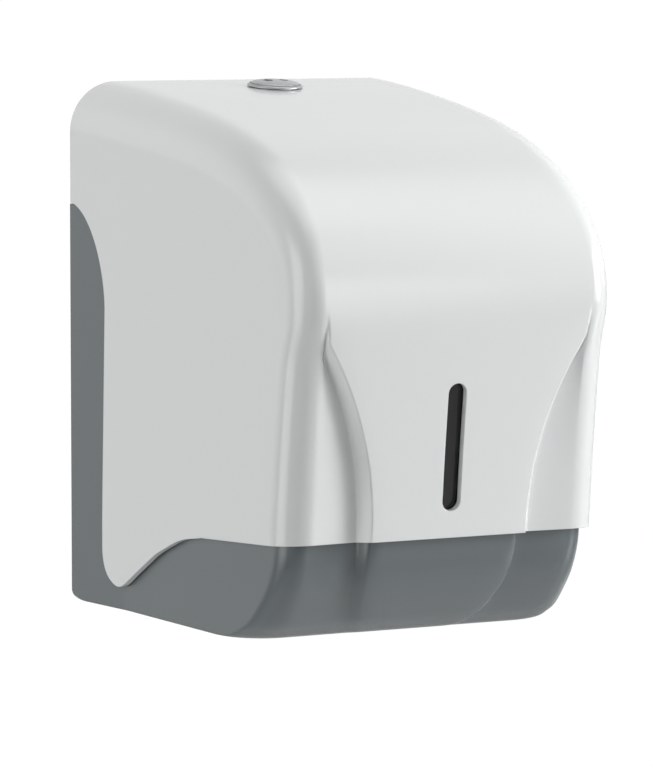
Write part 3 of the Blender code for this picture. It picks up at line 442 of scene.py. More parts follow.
def sideEdge(grow):
    # the cover's lower edge seen from the side, with its tail, and up along the wall strip
    front = body["depth"] + body["past"]
    start = cover["edgeStart"]
    tail = [(start, lowerEdge(start))]
    tail += [(d * start, h * cover["edgeHeight"]) for d, h in cover["tail"]]
    tail.append((cover["stripDepth"], cover["stripTop"] - cover["stripArc"]))
    tail = evenSteps(curveThrough(tail, cover["tailSteps"]), cover["tailSpacing"])
    edge = [(front, lowerEdge(front))]
    edge += [tuple(p) for p in relaxed(tail, cover["tailPasses"])][:-1]
    edge += stripEdge(cover["stripSteps"])
    return [(depth - normal[0] * grow, height - normal[1] * grow)
            for (depth, height), normal in zip(edge, normalsOf(edge))]


lockAxis = Vector(joints["lock_turn"]["axis"])
lockPlace = (Matrix.Translation(Vector(joints["lock_turn"]["pos_m"]))
             @ Matrix.Rotation(atan2(-lockAxis.y, lockAxis.z), 4, "X"))


def windowPlace():
    line = curveNear(rough, cover["placeSteps"])
    k = [i for i, row in enumerate(line) if row[1] < cover["slotHeight"]][-1]
    low, high = line[k], line[k + 1]
    share = (cover["slotHeight"] - low[1]) / (high[1] - low[1])
    depth = low[0] + (high[0] - low[0]) * share
    lean = atan2(high[0] - low[0], high[1] - low[1])
    across, upward = Vector((1, 0, 0)), Vector((0, -sin(lean), cos(lean)))
    turn = Matrix((across, upward, across.cross(upward))).transposed()
    return Matrix.Translation(point(0.0, depth, cover["slotHeight"])) @ turn.to_4x4()


def roundedRectangle(halfX, halfY, radius, steps):
    outline = []
    for signX, signY, start in ((1, 1, 0), (-1, 1, 1), (-1, -1, 2), (1, -1, 3)):
        for k in range(steps + 1):
            angle = pi / 2 * (start + k / steps)
            outline.append((signX * (halfX - radius) + radius * cos(angle),
                            signY * (halfY - radius) + radius * sin(angle)))
    # where the corners meet in a half circle, their shared point stays once
    return list(dict.fromkeys(outline))


def hingeSpot(x):
    return point(x, cover["hingeDepth"], cover["hingeHeight"])


def makeCover(material):
    past = body["past"]
    outer = coverBlock(outerProfile, 0.0, 0.0, body["gap"], cover["outerCounts"])
    made = meshObject("coverShell", outer, material)
    inner = coverBlock(innerProfile, cover["wall"], cover["sideWall"], past, cover["innerCounts"])
    cut(made, inner)
    top = body["height"] + past
    ring = sideEdge(0.0) + [(body["gap"], top), (body["depth"] + past, top)]
    reach = body["halfBack"] + past
    keep = sweep([point(-reach, d, z) for d, z in ring], (2 * reach, 0, 0))
    combine(made, keep, "INTERSECT")
    half = cover["slotWidth"] / 2
    slot = roundedRectangle(half, cover["slotLength"] / 2, half, cover["slotSteps"])
    cuts = [put(sweep([(x, y, -past) for x, y in slot], (0, 0, 2 * past)), windowPlace()),
            put(rod(cover["lockHole"], -past, past, cover["lockSegments"]), lockPlace)]
    wall = coverHalf(cover["hingeDepth"]) - cover["sideWall"]
    for side in (-1, 1):
        cuts.append(drill(cover["pinHole"], -past, cover["socketDepth"], hingeSpot(side * wall),
                          Matrix.Rotation(side * pi / 2, 4, "Y")))
    cut(made, gather(cuts))
    return freeze(made, cover["sharpAngle"])


# Base

base = {
    "wall": 0.0022, "plate": 0.003, "recess": 0.0026, "recessRun": 0.032, "trayHeight": 0.038,
    "bottom": 0.0026, "rounding": 0.001, "wallCorner": 0.0035, "wallCornerRun": 0.008,
    "corner": 0.008, "stepWidth": 0.0026, "stepDepth": 0.0047, "flankShare": 0.6,
    "hollowInset": 0.00165, "stripLip": 0.006, "stripOverlap": 0.004,
    "stripWall": 0.0025, "plateCorner": 0.0134, "plateTopGap": 0.0008, "plateSideGap": 0.0006,
    "plateFoot": 0.44,
    # the chin: shares of the tray's height, the depth, the tongue's half width, its step and the
    # corner's radius
    "levels": [
        (0.000, 0.6864, 0.55, 0.00, 1.90), (0.0105, 0.7262, 0.57, 0.12, 1.80),
        (0.040, 0.7604, 0.62, 0.30, 1.65), (0.085, 0.7858, 0.68, 0.48, 1.50),
        (0.165, 0.8206, 0.77, 0.68, 1.30), (0.310, 0.8570, 0.855, 0.84, 1.15),
        (0.490, 0.8936, 0.92, 0.95, 1.05), (0.725, 0.9196, 0.945, 1.0, 1.00),
        (1.000, 0.9270, 0.95, 1.0, 1.00),
    ],
    "outletWidth": 0.094, "outletStart": 0.044, "outletEnd": 0.094, "outletCorner": 0.008,
    "wallHole": 0.0026, "wallHoleX": 0.070, "wallHoleZ": 0.090, "pilot": 0.00155,
    "notchWidth": 0.024, "notchHeight": 0.0334, "notchBack": 0.103,
    "sideSteps": 16, "arcSteps": 20, "counts": (8, 7, 8, 16), "softReach": 0.0014,
    "hollowLevels": 14, "hollowPower": 1.6, "pilotPast": 0.001, "sharpAngle": 32,
    "levelSteps": 6, "plateSteps": 18, "outletSteps": 12, "pilotSegments": 24,
}


def baseHalf(depth):
    return coverHalf(depth) - base["recess"] * min(depth / base["recessRun"], 1.0)


def baseLoop(height, level, rounding, wall, backDepth):
    frontDepth, tongueX, step, corner = level[1:]
    cornerDepth = frontDepth - step * base["flankShare"]
    radius = corner - wall
    side = []
    for k in range(base["sideSteps"] + 1):
        depth = backDepth + (base["recessRun"] - backDepth) * k / base["sideSteps"]
        curl = rounding
        if rounding > 0:
            curl += (base["wallCorner"] - rounding) * max(1 - depth / base["wallCornerRun"], 0) ** 2
        lift = max(curl - height, 0.0)
        inset = curl - sqrt(max(curl ** 2 - lift ** 2, 0.0)) if curl > 0 else 0.0
        side.append((baseHalf(depth) - wall - inset, depth))
    lift = max(rounding - height, 0.0)
    inset = wall + rounding - sqrt(max(rounding ** 2 - lift ** 2, 0.0))
    cornerX = baseHalf(cornerDepth - radius) - inset - radius
    crestX = tongueX - wall / 2
    line = [(0.0, frontDepth), (crestX, frontDepth),
            (crestX + base["stepWidth"], frontDepth - step), (cornerX, cornerDepth)]
    line += [(cornerX + radius * s, cornerDepth - radius * (1 - c))
             for c, s in quarter(base["arcSteps"])[1:]]
    front = softenedSpots(line, [0, 1, 2, 3, 3 + base["arcSteps"]], base["counts"],
                          base["softReach"])
    half = front + side[::-1]
    return ([point(x, d, height) for x, d in half[:0:-1]]
            + [point(-x, d, height) for x, d in half])


def makeBase(material):
    rows = [(h * base["trayHeight"], d * body["depth"], t * cover["tongueFoot"],
             s * base["stepDepth"], r * base["corner"]) for h, d, t, s, r in base["levels"]]
    table = curveThrough(rows, base["levelSteps"])
    heights = [level[0] for level in table]
    loops = [baseLoop(level[0], level, base["rounding"], 0.0, 0.0) for level in table]
    loops.append(baseLoop(cover["stripTop"] + base["stripOverlap"], table[-1], 0.0, 0.0, 0.0))
    made = meshObject("baseShell", loft(loops), material)

    past, tray = body["past"], base["trayHeight"]
    foot = tray * base["plateFoot"]
    plateHalf = body["halfBack"] - base["recess"] - base["plateSideGap"]
    plateTop = body["height"] - cover["wall"] - base["plateTopGap"]
    outline = [(plateHalf, foot)]
    outline += [(plateHalf - base["plateCorner"] * (1 - c),
                 plateTop - base["plateCorner"] * (1 - s)) for c, s in quarter(base["plateSteps"])]
    outline += [(-x, z) for x, z in outline[::-1]]
    plate = sweep([point(x, 0.0, z) for x, z in outline], (0, -base["plate"], 0))
    combine(made, plate, "UNION")

    # above the tray only the strips at the wall stay, with a lip that reaches under the cover
    top = body["height"] + past
    lipEnd = cover["stripDepth"] + base["stripLip"]
    reach = body["halfBack"] + past
    cut(made, block(point(-reach, body["depth"] + past, tray), point(reach, lipEnd, top)))
    inner = base["recess"] + base["stripWall"]
    between = [point(side * (coverHalf(d) - inner), d, foot)
               for side, d in ((1, base["plate"]), (1, lipEnd + past), (-1, lipEnd + past),
                               (-1, base["plate"]))]
    cut(made, sweep(between, (0, 0, top - foot)))

    clear = sideEdge(body["gap"])
    ring = clear + [(-past, clear[-1][1]), (-past, top), (body["depth"] + past, top)]
    faceInset = base["recess"] - body["gap"] / 6
    for side in (-1, 1):
        inside = [point(side * (coverHalf(d) - faceInset), d, z) for d, z in ring]
        outside = [point(side * (body["halfBack"] + past), d, z) for d, z in ring]
        cut(made, loft([inside, outside]))

    loops = []
    for k in range(base["hollowLevels"] + 1):
        share = (k / base["hollowLevels"]) ** base["hollowPower"]
        height = base["bottom"] + (tray + past - base["bottom"]) * share
        level = spotAt(table, heights, height - base["wall"])
        level = [level[0], level[1] - base["hollowInset"]] + level[2:]
        loops.append(baseLoop(height, level, 0.0, base["wall"], base["plate"]))
    cut(made, loft(loops))
    half = base["notchWidth"] / 2
    notch = block(point(-half, body["depth"], base["notchHeight"]),
                  point(half, base["notchBack"], tray + past))
    cut(made, notch)

    middle = (base["outletStart"] + base["outletEnd"]) / 2
    halfRun = (base["outletEnd"] - base["outletStart"]) / 2
    outlet = roundedRectangle(base["outletWidth"] / 2, halfRun, base["outletCorner"],
                              base["outletSteps"])
    cut(made, sweep([point(x, middle + d, -past / 2) for x, d in outlet],
                    (0, 0, base["bottom"] + past)))
    holes = []
    for signX in (-1, 1):
        for signZ in (-1, 1):
            spot = Vector((signX * base["wallHoleX"] / 2, past / 2, signZ * base["wallHoleZ"] / 2))
            holes.append(drill(base["wallHole"], 0.0, base["plate"] + past, spot, intoWall))
        pin = hingeSpot(signX * baseHalf(cover["hingeDepth"]))
        holes.append(drill(cover["pinHole"], -past, past, pin, alongX))
    # pilot holes run through the plate and the bottom behind every screw
    for nodeName in frame["nodes"]:
        if "_screw_" in nodeName:
            low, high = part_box(nodeName)
            spot, turn = (low + high) / 2, intoWall
            if nodeName.startswith("tear"):
                spot.z, turn = low.z - past, Matrix()
            else:
                spot.y = past
            holes.append(drill(base["pilot"], 0.0, past + base["plate"] + base["pilotPast"], spot,
                               turn, base["pilotSegments"]))
    cut(made, gather(holes))
    return freeze(made, base["sharpAngle"])


# Node trees, and surface effects that several materials share

socketKinds = {float: "NodeSocketFloat", int: "NodeSocketInt", tuple: "NodeSocketVector"}
treeOutputs = {"Shader": ("NodeSocketFloat", ("Height", "Shade", "Polish")),
               "Geometry": ("NodeSocketGeometry", ("Geometry",))}


def newTree(use, name, inputs):
    # an input is listed with its default value, or with its kind where it has none
    tree = bpy.data.node_groups.new(name, use + "NodeTree")
    for label, value in inputs.items():
        kind = socketKinds.get(type(value), value)
        socket = tree.interface.new_socket(label, in_out="INPUT", socket_type=kind)
        if kind != value:
            socket.default_value = value
    kind, labels = treeOutputs[use]
    for label in labels:
        tree.interface.new_socket(label, in_out="OUTPUT", socket_type=kind)
    return tree, tree.nodes.new("NodeGroupInput").outputs, tree.nodes.new("NodeGroupOutput")


def feed(tree, made, inputs):
    # links each input to a socket, or gives it a plain value
    for key, value in inputs.items():
        if isinstance(value, bpy.types.NodeSocket):
            tree.links.new(value, made.inputs[key])
        else:
            made.inputs[key].default_value = value
    return made


def node(tree, kind, inputs=None, **settings):
    made = tree.nodes.new(kind)
    for key, value in settings.items():
        setattr(made, key, value)
    return feed(tree, made, inputs or {})


def calc(tree, operation, *values):
    return node(tree, "ShaderNodeMath", dict(enumerate(values)), operation=operation).outputs[0]


def noise(tree, place, scale, detail):
    made = node(tree, "ShaderNodeTexNoise", {"Vector": place, "Scale": scale, "Detail": detail})
    return made.outputs["Fac"]


mould = {"grainDetail": 3, "waveDetail": 1, "cloudScale": 14, "cloudDetail": 4, "polishSwing": 0.35}
metal = {"lineDetail": 2, "stainScale": 90, "stainDetail": 4, "polishSwing": 0.5,
         "polishLeast": 0.75}


def mouldGrain():
    # moulded plastic: fine grain, slow waviness of the wall, and faint cloudiness of the colour
    group, given, out = newTree("Shader", "mouldGrain", {
        "Grain Size": 900.0, "Wave Size": 28.0, "Wave Share": 0.5, "Cloud Amount": 0.02})
    place = node(group, "ShaderNodeTexCoord").outputs["Object"]
    grain = noise(group, place, given["Grain Size"], mould["grainDetail"])
    wave = noise(group, place, given["Wave Size"], mould["waveDetail"])
    cloud = noise(group, place, mould["cloudScale"], mould["cloudDetail"])
    centred = calc(group, "SUBTRACT", cloud, 0.5)
    fine = calc(group, "MULTIPLY", grain, calc(group, "SUBTRACT", 1.0, given["Wave Share"]))
    slow = calc(group, "MULTIPLY", wave, given["Wave Share"])
    feed(group, out, {
        "Height": calc(group, "ADD", fine, slow),
        "Shade": calc(group, "MULTIPLY_ADD", centred, given["Cloud Amount"], 1.0),
        "Polish": calc(group, "MULTIPLY_ADD", centred, mould["polishSwing"], 1.0),
    })
    return group


def drawnMetal():
    # rolled or turned metal: fine lines along one axis and a slow change of sheen
    group, given, out = newTree("Shader", "drawnMetal", {
        "Line Scale": 1600.0, "Stretch": (0.03, 1, 1), "Stain Amount": 0.12})
    place = node(group, "ShaderNodeTexCoord").outputs["Object"]
    stretched = node(group, "ShaderNodeVectorMath", {0: place, 1: given["Stretch"]},
                     operation="MULTIPLY").outputs[0]
    lines = noise(group, stretched, given["Line Scale"], metal["lineDetail"])
    stain = noise(group, place, metal["stainScale"], metal["stainDetail"])
    centred = calc(group, "SUBTRACT", stain, 0.5)
    feed(group, out, {
        "Height": lines,
        "Shade": calc(group, "MULTIPLY_ADD", centred, given["Stain Amount"], 1.0),
        "Polish": calc(group, "MULTIPLY_ADD", lines, metal["polishSwing"], metal["polishLeast"]),
    })
    return group


effects = {"mouldGrain": mouldGrain(), "drawnMetal": drawnMetal()}
bumpDepth, bevelSamples = 0.0001, 6


def finish(name, effect, colour, roughness, bump, rim, settings, **shader):
    # one Principled surface: effect values drive colour, roughness and a fine bump on softened rims
    made = bpy.data.materials.new(name)
    made.use_nodes = True
    made.diffuse_color = (*colour, 1)
    tree = made.node_tree
    pattern = node(tree, "ShaderNodeGroup", settings, node_tree=effects[effect]).outputs
    tint = node(tree, "ShaderNodeMix", {"Factor": 1, "A": (*colour, 1), "B": pattern["Shade"]},
                data_type="RGBA", blend_type="MULTIPLY")
    relief = node(tree, "ShaderNodeBump", {"Strength": bump, "Distance": bumpDepth,
                                           "Height": pattern["Height"]})
    if rim > 0:
        edge = node(tree, "ShaderNodeBevel", {"Radius": rim}, samples=bevelSamples)
        feed(tree, relief, {"Normal": edge.outputs["Normal"]})
    surface = feed(tree, tree.nodes["Principled BSDF"], {
        "Base Color": tint.outputs["Result"],
        "Roughness": calc(tree, "MULTIPLY", pattern["Polish"], roughness),
        "Normal": relief.outputs["Normal"]})
    feed(tree, surface, {key.replace("_", " "): value for key, value in shader.items()})
    return made


finishes = {
    "cover": finish("glossWhiteShell", "mouldGrain", (0.79, 0.808, 0.806), 0.11, 0.05, 0.0004,
                    {"Grain Size": 700.0, "Wave Size": 26.0, "Wave Share": 0.9,
                     "Cloud Amount": 0.01}, Specular_IOR_Level=0.55),
    "base": finish("satinGreyHousing", "mouldGrain", (0.136, 0.157, 0.164), 0.24, 0.40, 0.0004,
                   {"Grain Size": 2600.0, "Wave Size": 60.0, "Wave Share": 0.15,
                    "Cloud Amount": 0.05}, Specular_IOR_Level=0.7),
    "pane": finish("smokedPane", "mouldGrain", (0.012, 0.012, 0.014), 0.09, 0.03, 0.0,
                   {"Grain Size": 500.0, "Wave Share": 0.8}),
    "inner": finish("plainWhitePlastic", "mouldGrain", (0.72, 0.72, 0.71), 0.38, 0.3, 0.0003,
                    {"Grain Size": 2000.0, "Wave Share": 0.3, "Cloud Amount": 0.03}),
    "lock": finish("silverLockPaint", "mouldGrain", (0.46, 0.48, 0.48), 0.34, 0.25, 0.0002,
                   {"Grain Size": 3200.0, "Wave Share": 0.2, "Cloud Amount": 0.08}, Metallic=0.35),
    "arm": finish("greyArmPlastic", "mouldGrain", (0.28, 0.29, 0.30), 0.40, 0.5, 0.0003,
                  {"Grain Size": 2400.0, "Wave Share": 0.2, "Cloud Amount": 0.06}),
    "steel": finish("zincPlatedSteel", "drawnMetal", (0.60, 0.60, 0.61), 0.26, 0.18, 0.0002,
                    {"Stain Amount": 0.25}, Metallic=1.0),
    "blade": finish("stainlessBlade", "drawnMetal", (0.66, 0.65, 0.64), 0.20, 0.22, 0.0001,
                    {"Line Scale": 2200.0, "Stain Amount": 0.08}, Metallic=1.0),
    "spring": finish("springWire", "drawnMetal", (0.48, 0.48, 0.50), 0.30, 0.10, 0.0,
                     {"Stain Amount": 0.2}, Metallic=1.0),
}
print("finishes made:", len(finishes))


def dress(piece, riding, slot, *nodes):
    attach(piece, riding)
    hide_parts(*nodes)
    return piece


coverShell = dress(makeCover(finishes["cover"]), "cover", "cover_plastic", "front_cover")
print("cover made:", len(coverShell.data.polygons), "faces")
baseShell = dress(makeBase(finishes["base"]), "housing", "base_plastic", "base_housing")
print("base made:", len(baseShell.data.polygons), "faces")


# Lock: flange ring and domed barrel with its two key holes

lock = {
    "seat": 0.0003, "flangeRadius": 0.009, "flangeThickness": 0.0008, "flangeFoot": 0.2,
    "flangeRound": 0.8, "sleeveRadius": 0.0074, "sleeveLength": 0.009, "boreRadius": 0.0061,
    "barrelRadius": 0.006, "barrelLength": 0.0115, "domeRadius": 0.0079, "domeHeight": 0.0014,
    "domeEdge": 0.0002, "keyOffset": 0.00275, "keyLength": 0.0024, "keyWidth": 0.0015,
    "keyDepth": 0.005, "keySteps": 40, "pilot": 0.00165, "pilotDepth": 0.004,
    "camThickness": 0.002, "flangeSteps": 8, "domeSteps": 16, "segments": 96,
}


def makeLock(material):
    seat, thick, past = lock["seat"], lock["flangeThickness"], body["past"]
    flange, dome, bore = lock["flangeRadius"], lock["domeRadius"], lock["boreRadius"]
    low, floor = -lock["sleeveLength"], seat + thick / 2
    ring = [(bore, low), (lock["sleeveRadius"], low), (lock["sleeveRadius"], seat), (flange, seat)]
    ring += [(flange - thick * lock["flangeRound"] * (1 - c),
              seat + thick * (lock["flangeFoot"] + lock["flangeRound"] * s))
             for c, s in quarter(lock["flangeSteps"])]
    ring += [(dome + seat, seat + thick), (dome + seat, floor), (bore, floor)]
    rosette = meshObject("lockRosette", put(turned(ring, lock["segments"]), lockPlace), material)
    freeze(rosette)

    low, foot, edge = -lock["barrelLength"], floor + seat, lock["domeEdge"]
    shape = [(0, low), (lock["barrelRadius"], low), (lock["barrelRadius"], foot),
             (dome - edge, foot), (dome, foot + edge)]
    shape += [(dome * c, foot + edge + (lock["domeHeight"] - edge) * s)
              for c, s in quarter(lock["domeSteps"])[1:]]
    shape[-1] = (0, shape[-1][1])
    barrel = meshObject("lockDome", put(turned(shape, lock["segments"]), lockPlace), material)
    turns = [2 * pi * k / lock["keySteps"] for k in range(lock["keySteps"])]
    cuts = []
    for side in (-1, 1):
        outline = [(side * lock["keyOffset"] + lock["keyWidth"] * cos(turn),
                    lock["keyLength"] * sin(turn), foot - lock["keyDepth"]) for turn in turns]
        cuts.append(put(sweep(outline, (0, 0, lock["keyDepth"] + past)), lockPlace))
    cuts.append(put(rod(lock["pilot"], low - past, low + lock["pilotDepth"]), lockPlace))
    cut(barrel, gather(cuts))
    return rosette, freeze(barrel)


lockRosette, lockDome = makeLock(finishes["lock"])
dress(lockRosette, "cover", "lock_trim", "lock_ring")
dress(lockDome, "lock", "lock_trim", "lock_barrel")
print("lock made")


# Plain hardware keeps its solid's shape, with its edges broken

hardware = {
    "window_retainer": ("windowFrame", "inner", "cover", "inner_white_plastic", 0.0003),
    "lock_clip": ("lockClip", "steel", "cover", "spring_steel", 0.0002),
    "lock_cam": ("lockCam", "steel", "lock", "plated_steel", 0.0003),
    "latch_keeper": ("latchKeeper", "steel", "housing", "plated_steel", 0.0003),
    "hinge_pin_left": ("hingePinLeft", "steel", "housing", "pin_steel", 0.0003),
    "hinge_pin_right": ("hingePinRight", "steel", "housing", "pin_steel", 0.0003),
    "roll_arm_left": ("rollArmLeft", "arm", "housing", "arm_plastic", 0.0005),
    "roll_arm_right": ("rollArmRight", "arm", "housing", "arm_plastic", 0.0005),
    "window_pane": ("windowPane", "pane", "cover", "smoked_window", 0.0001),
}

# How the solids' facets are merged and their edges broken
mending = {"merge": 0.00001, "flatAngle": radians(0.5), "bevelAngle": radians(38), "segments": 3,
           "sharpAngle": 40}

for nodeName, (pieceName, finishName, riding, slotName, edge) in hardware.items():
    bm = bmesh.new()
    bm.from_mesh(frame["nodes"][nodeName].data)
    bmesh.ops.remove_doubles(bm, verts=bm.verts, dist=mending["merge"])
    bmesh.ops.dissolve_limit(bm, angle_limit=mending["flatAngle"], verts=bm.verts, edges=bm.edges)
    piece = meshObject(pieceName, bm, finishes[finishName])
    rounding = piece.modifiers.new("brokenEdges", "BEVEL")
    rounding.width = edge
    rounding.segments = mending["segments"]
    rounding.limit_method = "ANGLE"
    rounding.angle_limit = mending["bevelAngle"]
    dress(freeze(piece, mending["sharpAngle"]), riding, slotName, nodeName)
print("hardware dressed:", len(hardware))


# Spindle: two turned halves and the spring between them

spindle = {
    "depth": 0.068, "height": 0.095, "halfRoll": 0.0515, "endGap": 0.0005, "endWall": 0.0024,
    "sleeveRadius": 0.012, "sleeveBore": 0.0101, "sleeveLength": 0.062,
    "plungerRadius": 0.010, "plungerBore": 0.0082, "plungerLength": 0.058,
    "stubRadius": 0.0042, "stubLength": 0.0033, "edge": 0.0005, "roundSteps": 4, "segments": 96,
    "wire": 0.0006, "springRadius": 0.0078, "turns": 11, "coilSteps": 36, "wireSteps": 12,
}


def chamfered(profile, rounded):
    # cuts the listed corners of a turned profile with a short round
    made = []
    for k, (r, z) in enumerate(profile):
        if k not in rounded:
            made.append((r, z))
            continue
        corner = Vector((r, z))
        before, after = Vector(profile[k - 1]), Vector(profile[(k + 1) % len(profile)])
        start = corner + (before - corner).normalized() * spindle["edge"]
        end = corner + (after - corner).normalized() * spindle["edge"]
        for step in range(spindle["roundSteps"] + 1):
            u = step / spindle["roundSteps"]
            spot = start * (1 - u) ** 2 + corner * 2 * u * (1 - u) + end * u ** 2
            made.append((spot.x, spot.y))
    return made


spindlePlace = Matrix.Translation(point(0.0, spindle["depth"], spindle["height"])) @ alongX
leftEnd = -spindle["halfRoll"] + spindle["endGap"]
rightEnd = -leftEnd


def makeHalf(name, part, end, inward, material):
    # a tube with a closed end and a stub at its outer end, drawn inwards from there
    radius, bore, stub = spindle[part + "Radius"], spindle[part + "Bore"], spindle["stubRadius"]
    tip = end - inward * spindle["stubLength"]
    rim = end + inward * spindle[part + "Length"]
    floor = end + inward * spindle["endWall"]
    profile = chamfered([(0, tip), (stub, tip), (stub, end), (radius, end), (radius, rim),
                         (bore, rim), (bore, floor), (0, floor)], (1, 3, 4, 5))
    shape = put(turned(profile, spindle["segments"]), spindlePlace)
    return freeze(meshObject(name, shape, material))


dress(makeHalf("spindleSleeve", "sleeve", leftEnd, 1, finishes["arm"]),
      "spindle", "spindle_grey", "spindle_sleeve")
dress(makeHalf("spindlePlunger", "plunger", rightEnd, -1, finishes["inner"]),
      "plunger", "spindle_white", "spindle_plunger")
print("spindle made")


# What repeats is made by Geometry Nodes: the spring's coil, the screws and the blade's teeth

def endTree(tree, out, geometry, material):
    real = node(tree, "GeometryNodeRealizeInstances", {0: geometry})
    shade = node(tree, "GeometryNodeSetShadeSmooth", {"Geometry": real.outputs[0]})
    paint = node(tree, "GeometryNodeSetMaterial", {"Geometry": shade.outputs[0],
                                                   "Material": material})
    feed(tree, out, {0: paint.outputs[0]})
    return tree


def runTree(made, tree, values):
    # sets the tree's inputs by identifier and keeps what it makes as a plain mesh
    change = made.modifiers.new("grown", "NODES")
    change.node_group = tree
    for item in tree.interface.items_tree:
        if item.in_out == "INPUT" and item.name in values:
            change[item.identifier] = values[item.name]
    return settle(made)


def springTree(material):
    tree, given, out = newTree("Geometry", "coilSpring", {
        "Radius": 0.0078, "Length": 0.04, "Turns": 11.0, "Wire": 0.0006})
    coil = node(tree, "GeometryNodeCurveSpiral", {
        "Resolution": spindle["coilSteps"], "Rotations": given["Turns"],
        "Start Radius": given["Radius"], "End Radius": given["Radius"],
        "Height": given["Length"]})
    wire = node(tree, "GeometryNodeCurvePrimitiveCircle", {
        "Resolution": spindle["wireSteps"], "Radius": given["Wire"]})
    tube = node(tree, "GeometryNodeCurveToMesh", {
        "Curve": coil.outputs["Curve"], "Profile Curve": wire.outputs["Curve"], "Fill Caps": True})
    return endTree(tree, out, tube.outputs["Mesh"], material)


springLow = leftEnd + spindle["endWall"] + body["gap"] + spindle["wire"]
springHigh = rightEnd - spindle["plungerLength"] - body["gap"] - spindle["wire"]
spring = runTree(meshObject("spindleSpring", bmesh.new()), springTree(finishes["spring"]), {
    "Radius": spindle["springRadius"], "Length": springHigh - springLow,
    "Turns": float(spindle["turns"]), "Wire": spindle["wire"]})
spring.data.transform(spindlePlace @ Matrix.Translation((0, 0, springLow)))
dress(spring, "spindle", "spring_steel", "spindle_spring")
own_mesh(spring)
print("spring made:", len(spring.data.polygons), "faces")


# Screws: the small ones, and the one that holds the lock's cam

screw = {
    "headRadius": 0.0026, "headHeight": 0.0016, "shank": 0.0014, "pitch": 0.0009, "tip": 0.35,
    "root": 0.8, "neckRoom": 0.0008, "neck": 0.0005, "rim": 0.0002, "flat": 0.35, "dome": 0.65,
    "driveHalf": 0.0004, "driveReach": 0.6, "driveDepth": 0.0008, "segments": 40,
    "headSteps": 6, "sharpAngle": 35,
}
camScrew = {"headRadius": 0.003, "headHeight": 0.0016, "shank": 0.0015, "length": 0.006}


def screwHead(sizes, length):
    # pan head with a cross recess, and a shank with shallow rings for its thread
    radius, height, shank = sizes["headRadius"], sizes["headHeight"], sizes["shank"]
    root, pitch, rim = shank * screw["root"], screw["pitch"], screw["rim"]
    profile = [(0, -length), (shank * screw["tip"], -length), (root, -length + shank)]
    for k in range(int((length - shank - screw["neckRoom"]) / pitch)):
        z = -length + shank + pitch * k
        profile += [(shank, z + pitch * 0.5), (root, z + pitch)]
    profile += [(shank, -screw["neck"]), (shank, 0), (radius - rim, 0), (radius, rim)]
    profile += [(radius * (screw["flat"] + screw["dome"] * c),
                 height * (screw["flat"] + screw["dome"] * s))
                for c, s in quarter(screw["headSteps"])]
    profile.append((0, height))
    made = meshObject("screwHead", turned(profile, screw["segments"]))
    narrow, wide = screw["driveHalf"], radius * screw["driveReach"]
    cross = [(wide, narrow), (narrow, narrow), (narrow, wide)]
    cross += [(-x, y) for x, y in cross[::-1]]
    cross += [(-x, -y) for x, y in cross]
    floor = [(x, y, height - screw["driveDepth"]) for x, y in cross]
    cut(made, sweep(floor, (0, 0, 2 * screw["driveDepth"])))
    return freeze(made, screw["sharpAngle"])


def screwsTree(material):
    tree, given, out = newTree("Geometry", "screwSet", {
        "Screw": "NodeSocketObject", "Places": "NodeSocketObject", "Seed": 4})
    places = node(tree, "GeometryNodeObjectInfo", {"Object": given["Places"]})
    model = node(tree, "GeometryNodeObjectInfo", {"Object": given["Screw"]})
    facing = node(tree, "GeometryNodeInputNamedAttribute", {"Name": "facing"},
                  data_type="FLOAT_VECTOR")
    align = node(tree, "FunctionNodeAlignRotationToVector", {"Vector": facing.outputs[0]})
    angle = node(tree, "FunctionNodeRandomValue", {3: 2 * pi, "Seed": given["Seed"]},
                 data_type="FLOAT")
    around = node(tree, "FunctionNodeAxisAngleToRotation", {"Angle": angle.outputs[1]})
    spin = node(tree, "FunctionNodeRotateRotation", {
        "Rotation": align.outputs[0], "Rotate By": around.outputs[0]}, rotation_space="LOCAL")
    spread = node(tree, "GeometryNodeInstanceOnPoints", {
        "Points": places.outputs["Geometry"], "Instance": model.outputs["Geometry"],
        "Rotation": spin.outputs[0]})
    return endTree(tree, out, spread.outputs[0], material)


screwTree = screwsTree(finishes["steel"])


def screwSet(name, nodes, direction, sizes, riding, seat=None):
    # seats and length are read off the solids' boxes; the heads point along the direction
    axis = Vector(direction)
    spots = []
    for nodeName in nodes:
        low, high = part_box(nodeName)
        reach = abs(axis.dot(high - low)) / 2
        spots.append((low + high) / 2 + axis * (reach - sizes["headHeight"]))
        length = 2 * reach - sizes["headHeight"]
    if seat:
        spots, length = [seat], sizes["length"]
    points = bpy.data.meshes.new(name + "Places")
    points.from_pydata(spots, [], [])
    facing = points.attributes.new("facing", "FLOAT_VECTOR", "POINT")
    for k in range(len(spots)):
        facing.data[k].vector = axis
    marks = bpy.data.objects.new(name + "Places", points)
    scene.collection.objects.link(marks)
    model = screwHead(sizes, length)
    made = runTree(meshObject(name, bmesh.new()), screwTree,
                   {"Screw": model, "Places": marks, "Seed": len(nodes)})
    for helper in (marks, model):
        bpy.data.objects.remove(helper, do_unlink=True)
    return dress(made, riding, "screw_steel", *nodes)


tearScrews = ["tear_strip_screw_%d" % k for k in (1, 2, 3)]
screwSet("armScrews", ["arm_screw_%d" % k for k in (1, 2, 3, 4)], (0, -1, 0), screw, "housing")
screwSet("keeperScrews", ["keeper_screw_1", "keeper_screw_2"], (0, -1, 0), screw, "housing")
screwSet("tearStripScrews", tearScrews, (0, 0, 1), screw, "housing")
camScrewDepth = lock["barrelLength"] + lock["camThickness"] + 2 * body["gap"]
screwSet("camScrew", ["lock_cam_screw"], tuple(-lockAxis), camScrew, "lock",
         lockPlace @ Vector((0, 0, -camScrewDepth)))
print("screws made")


# Tear strip: a plate with a row of teeth along its rear edge

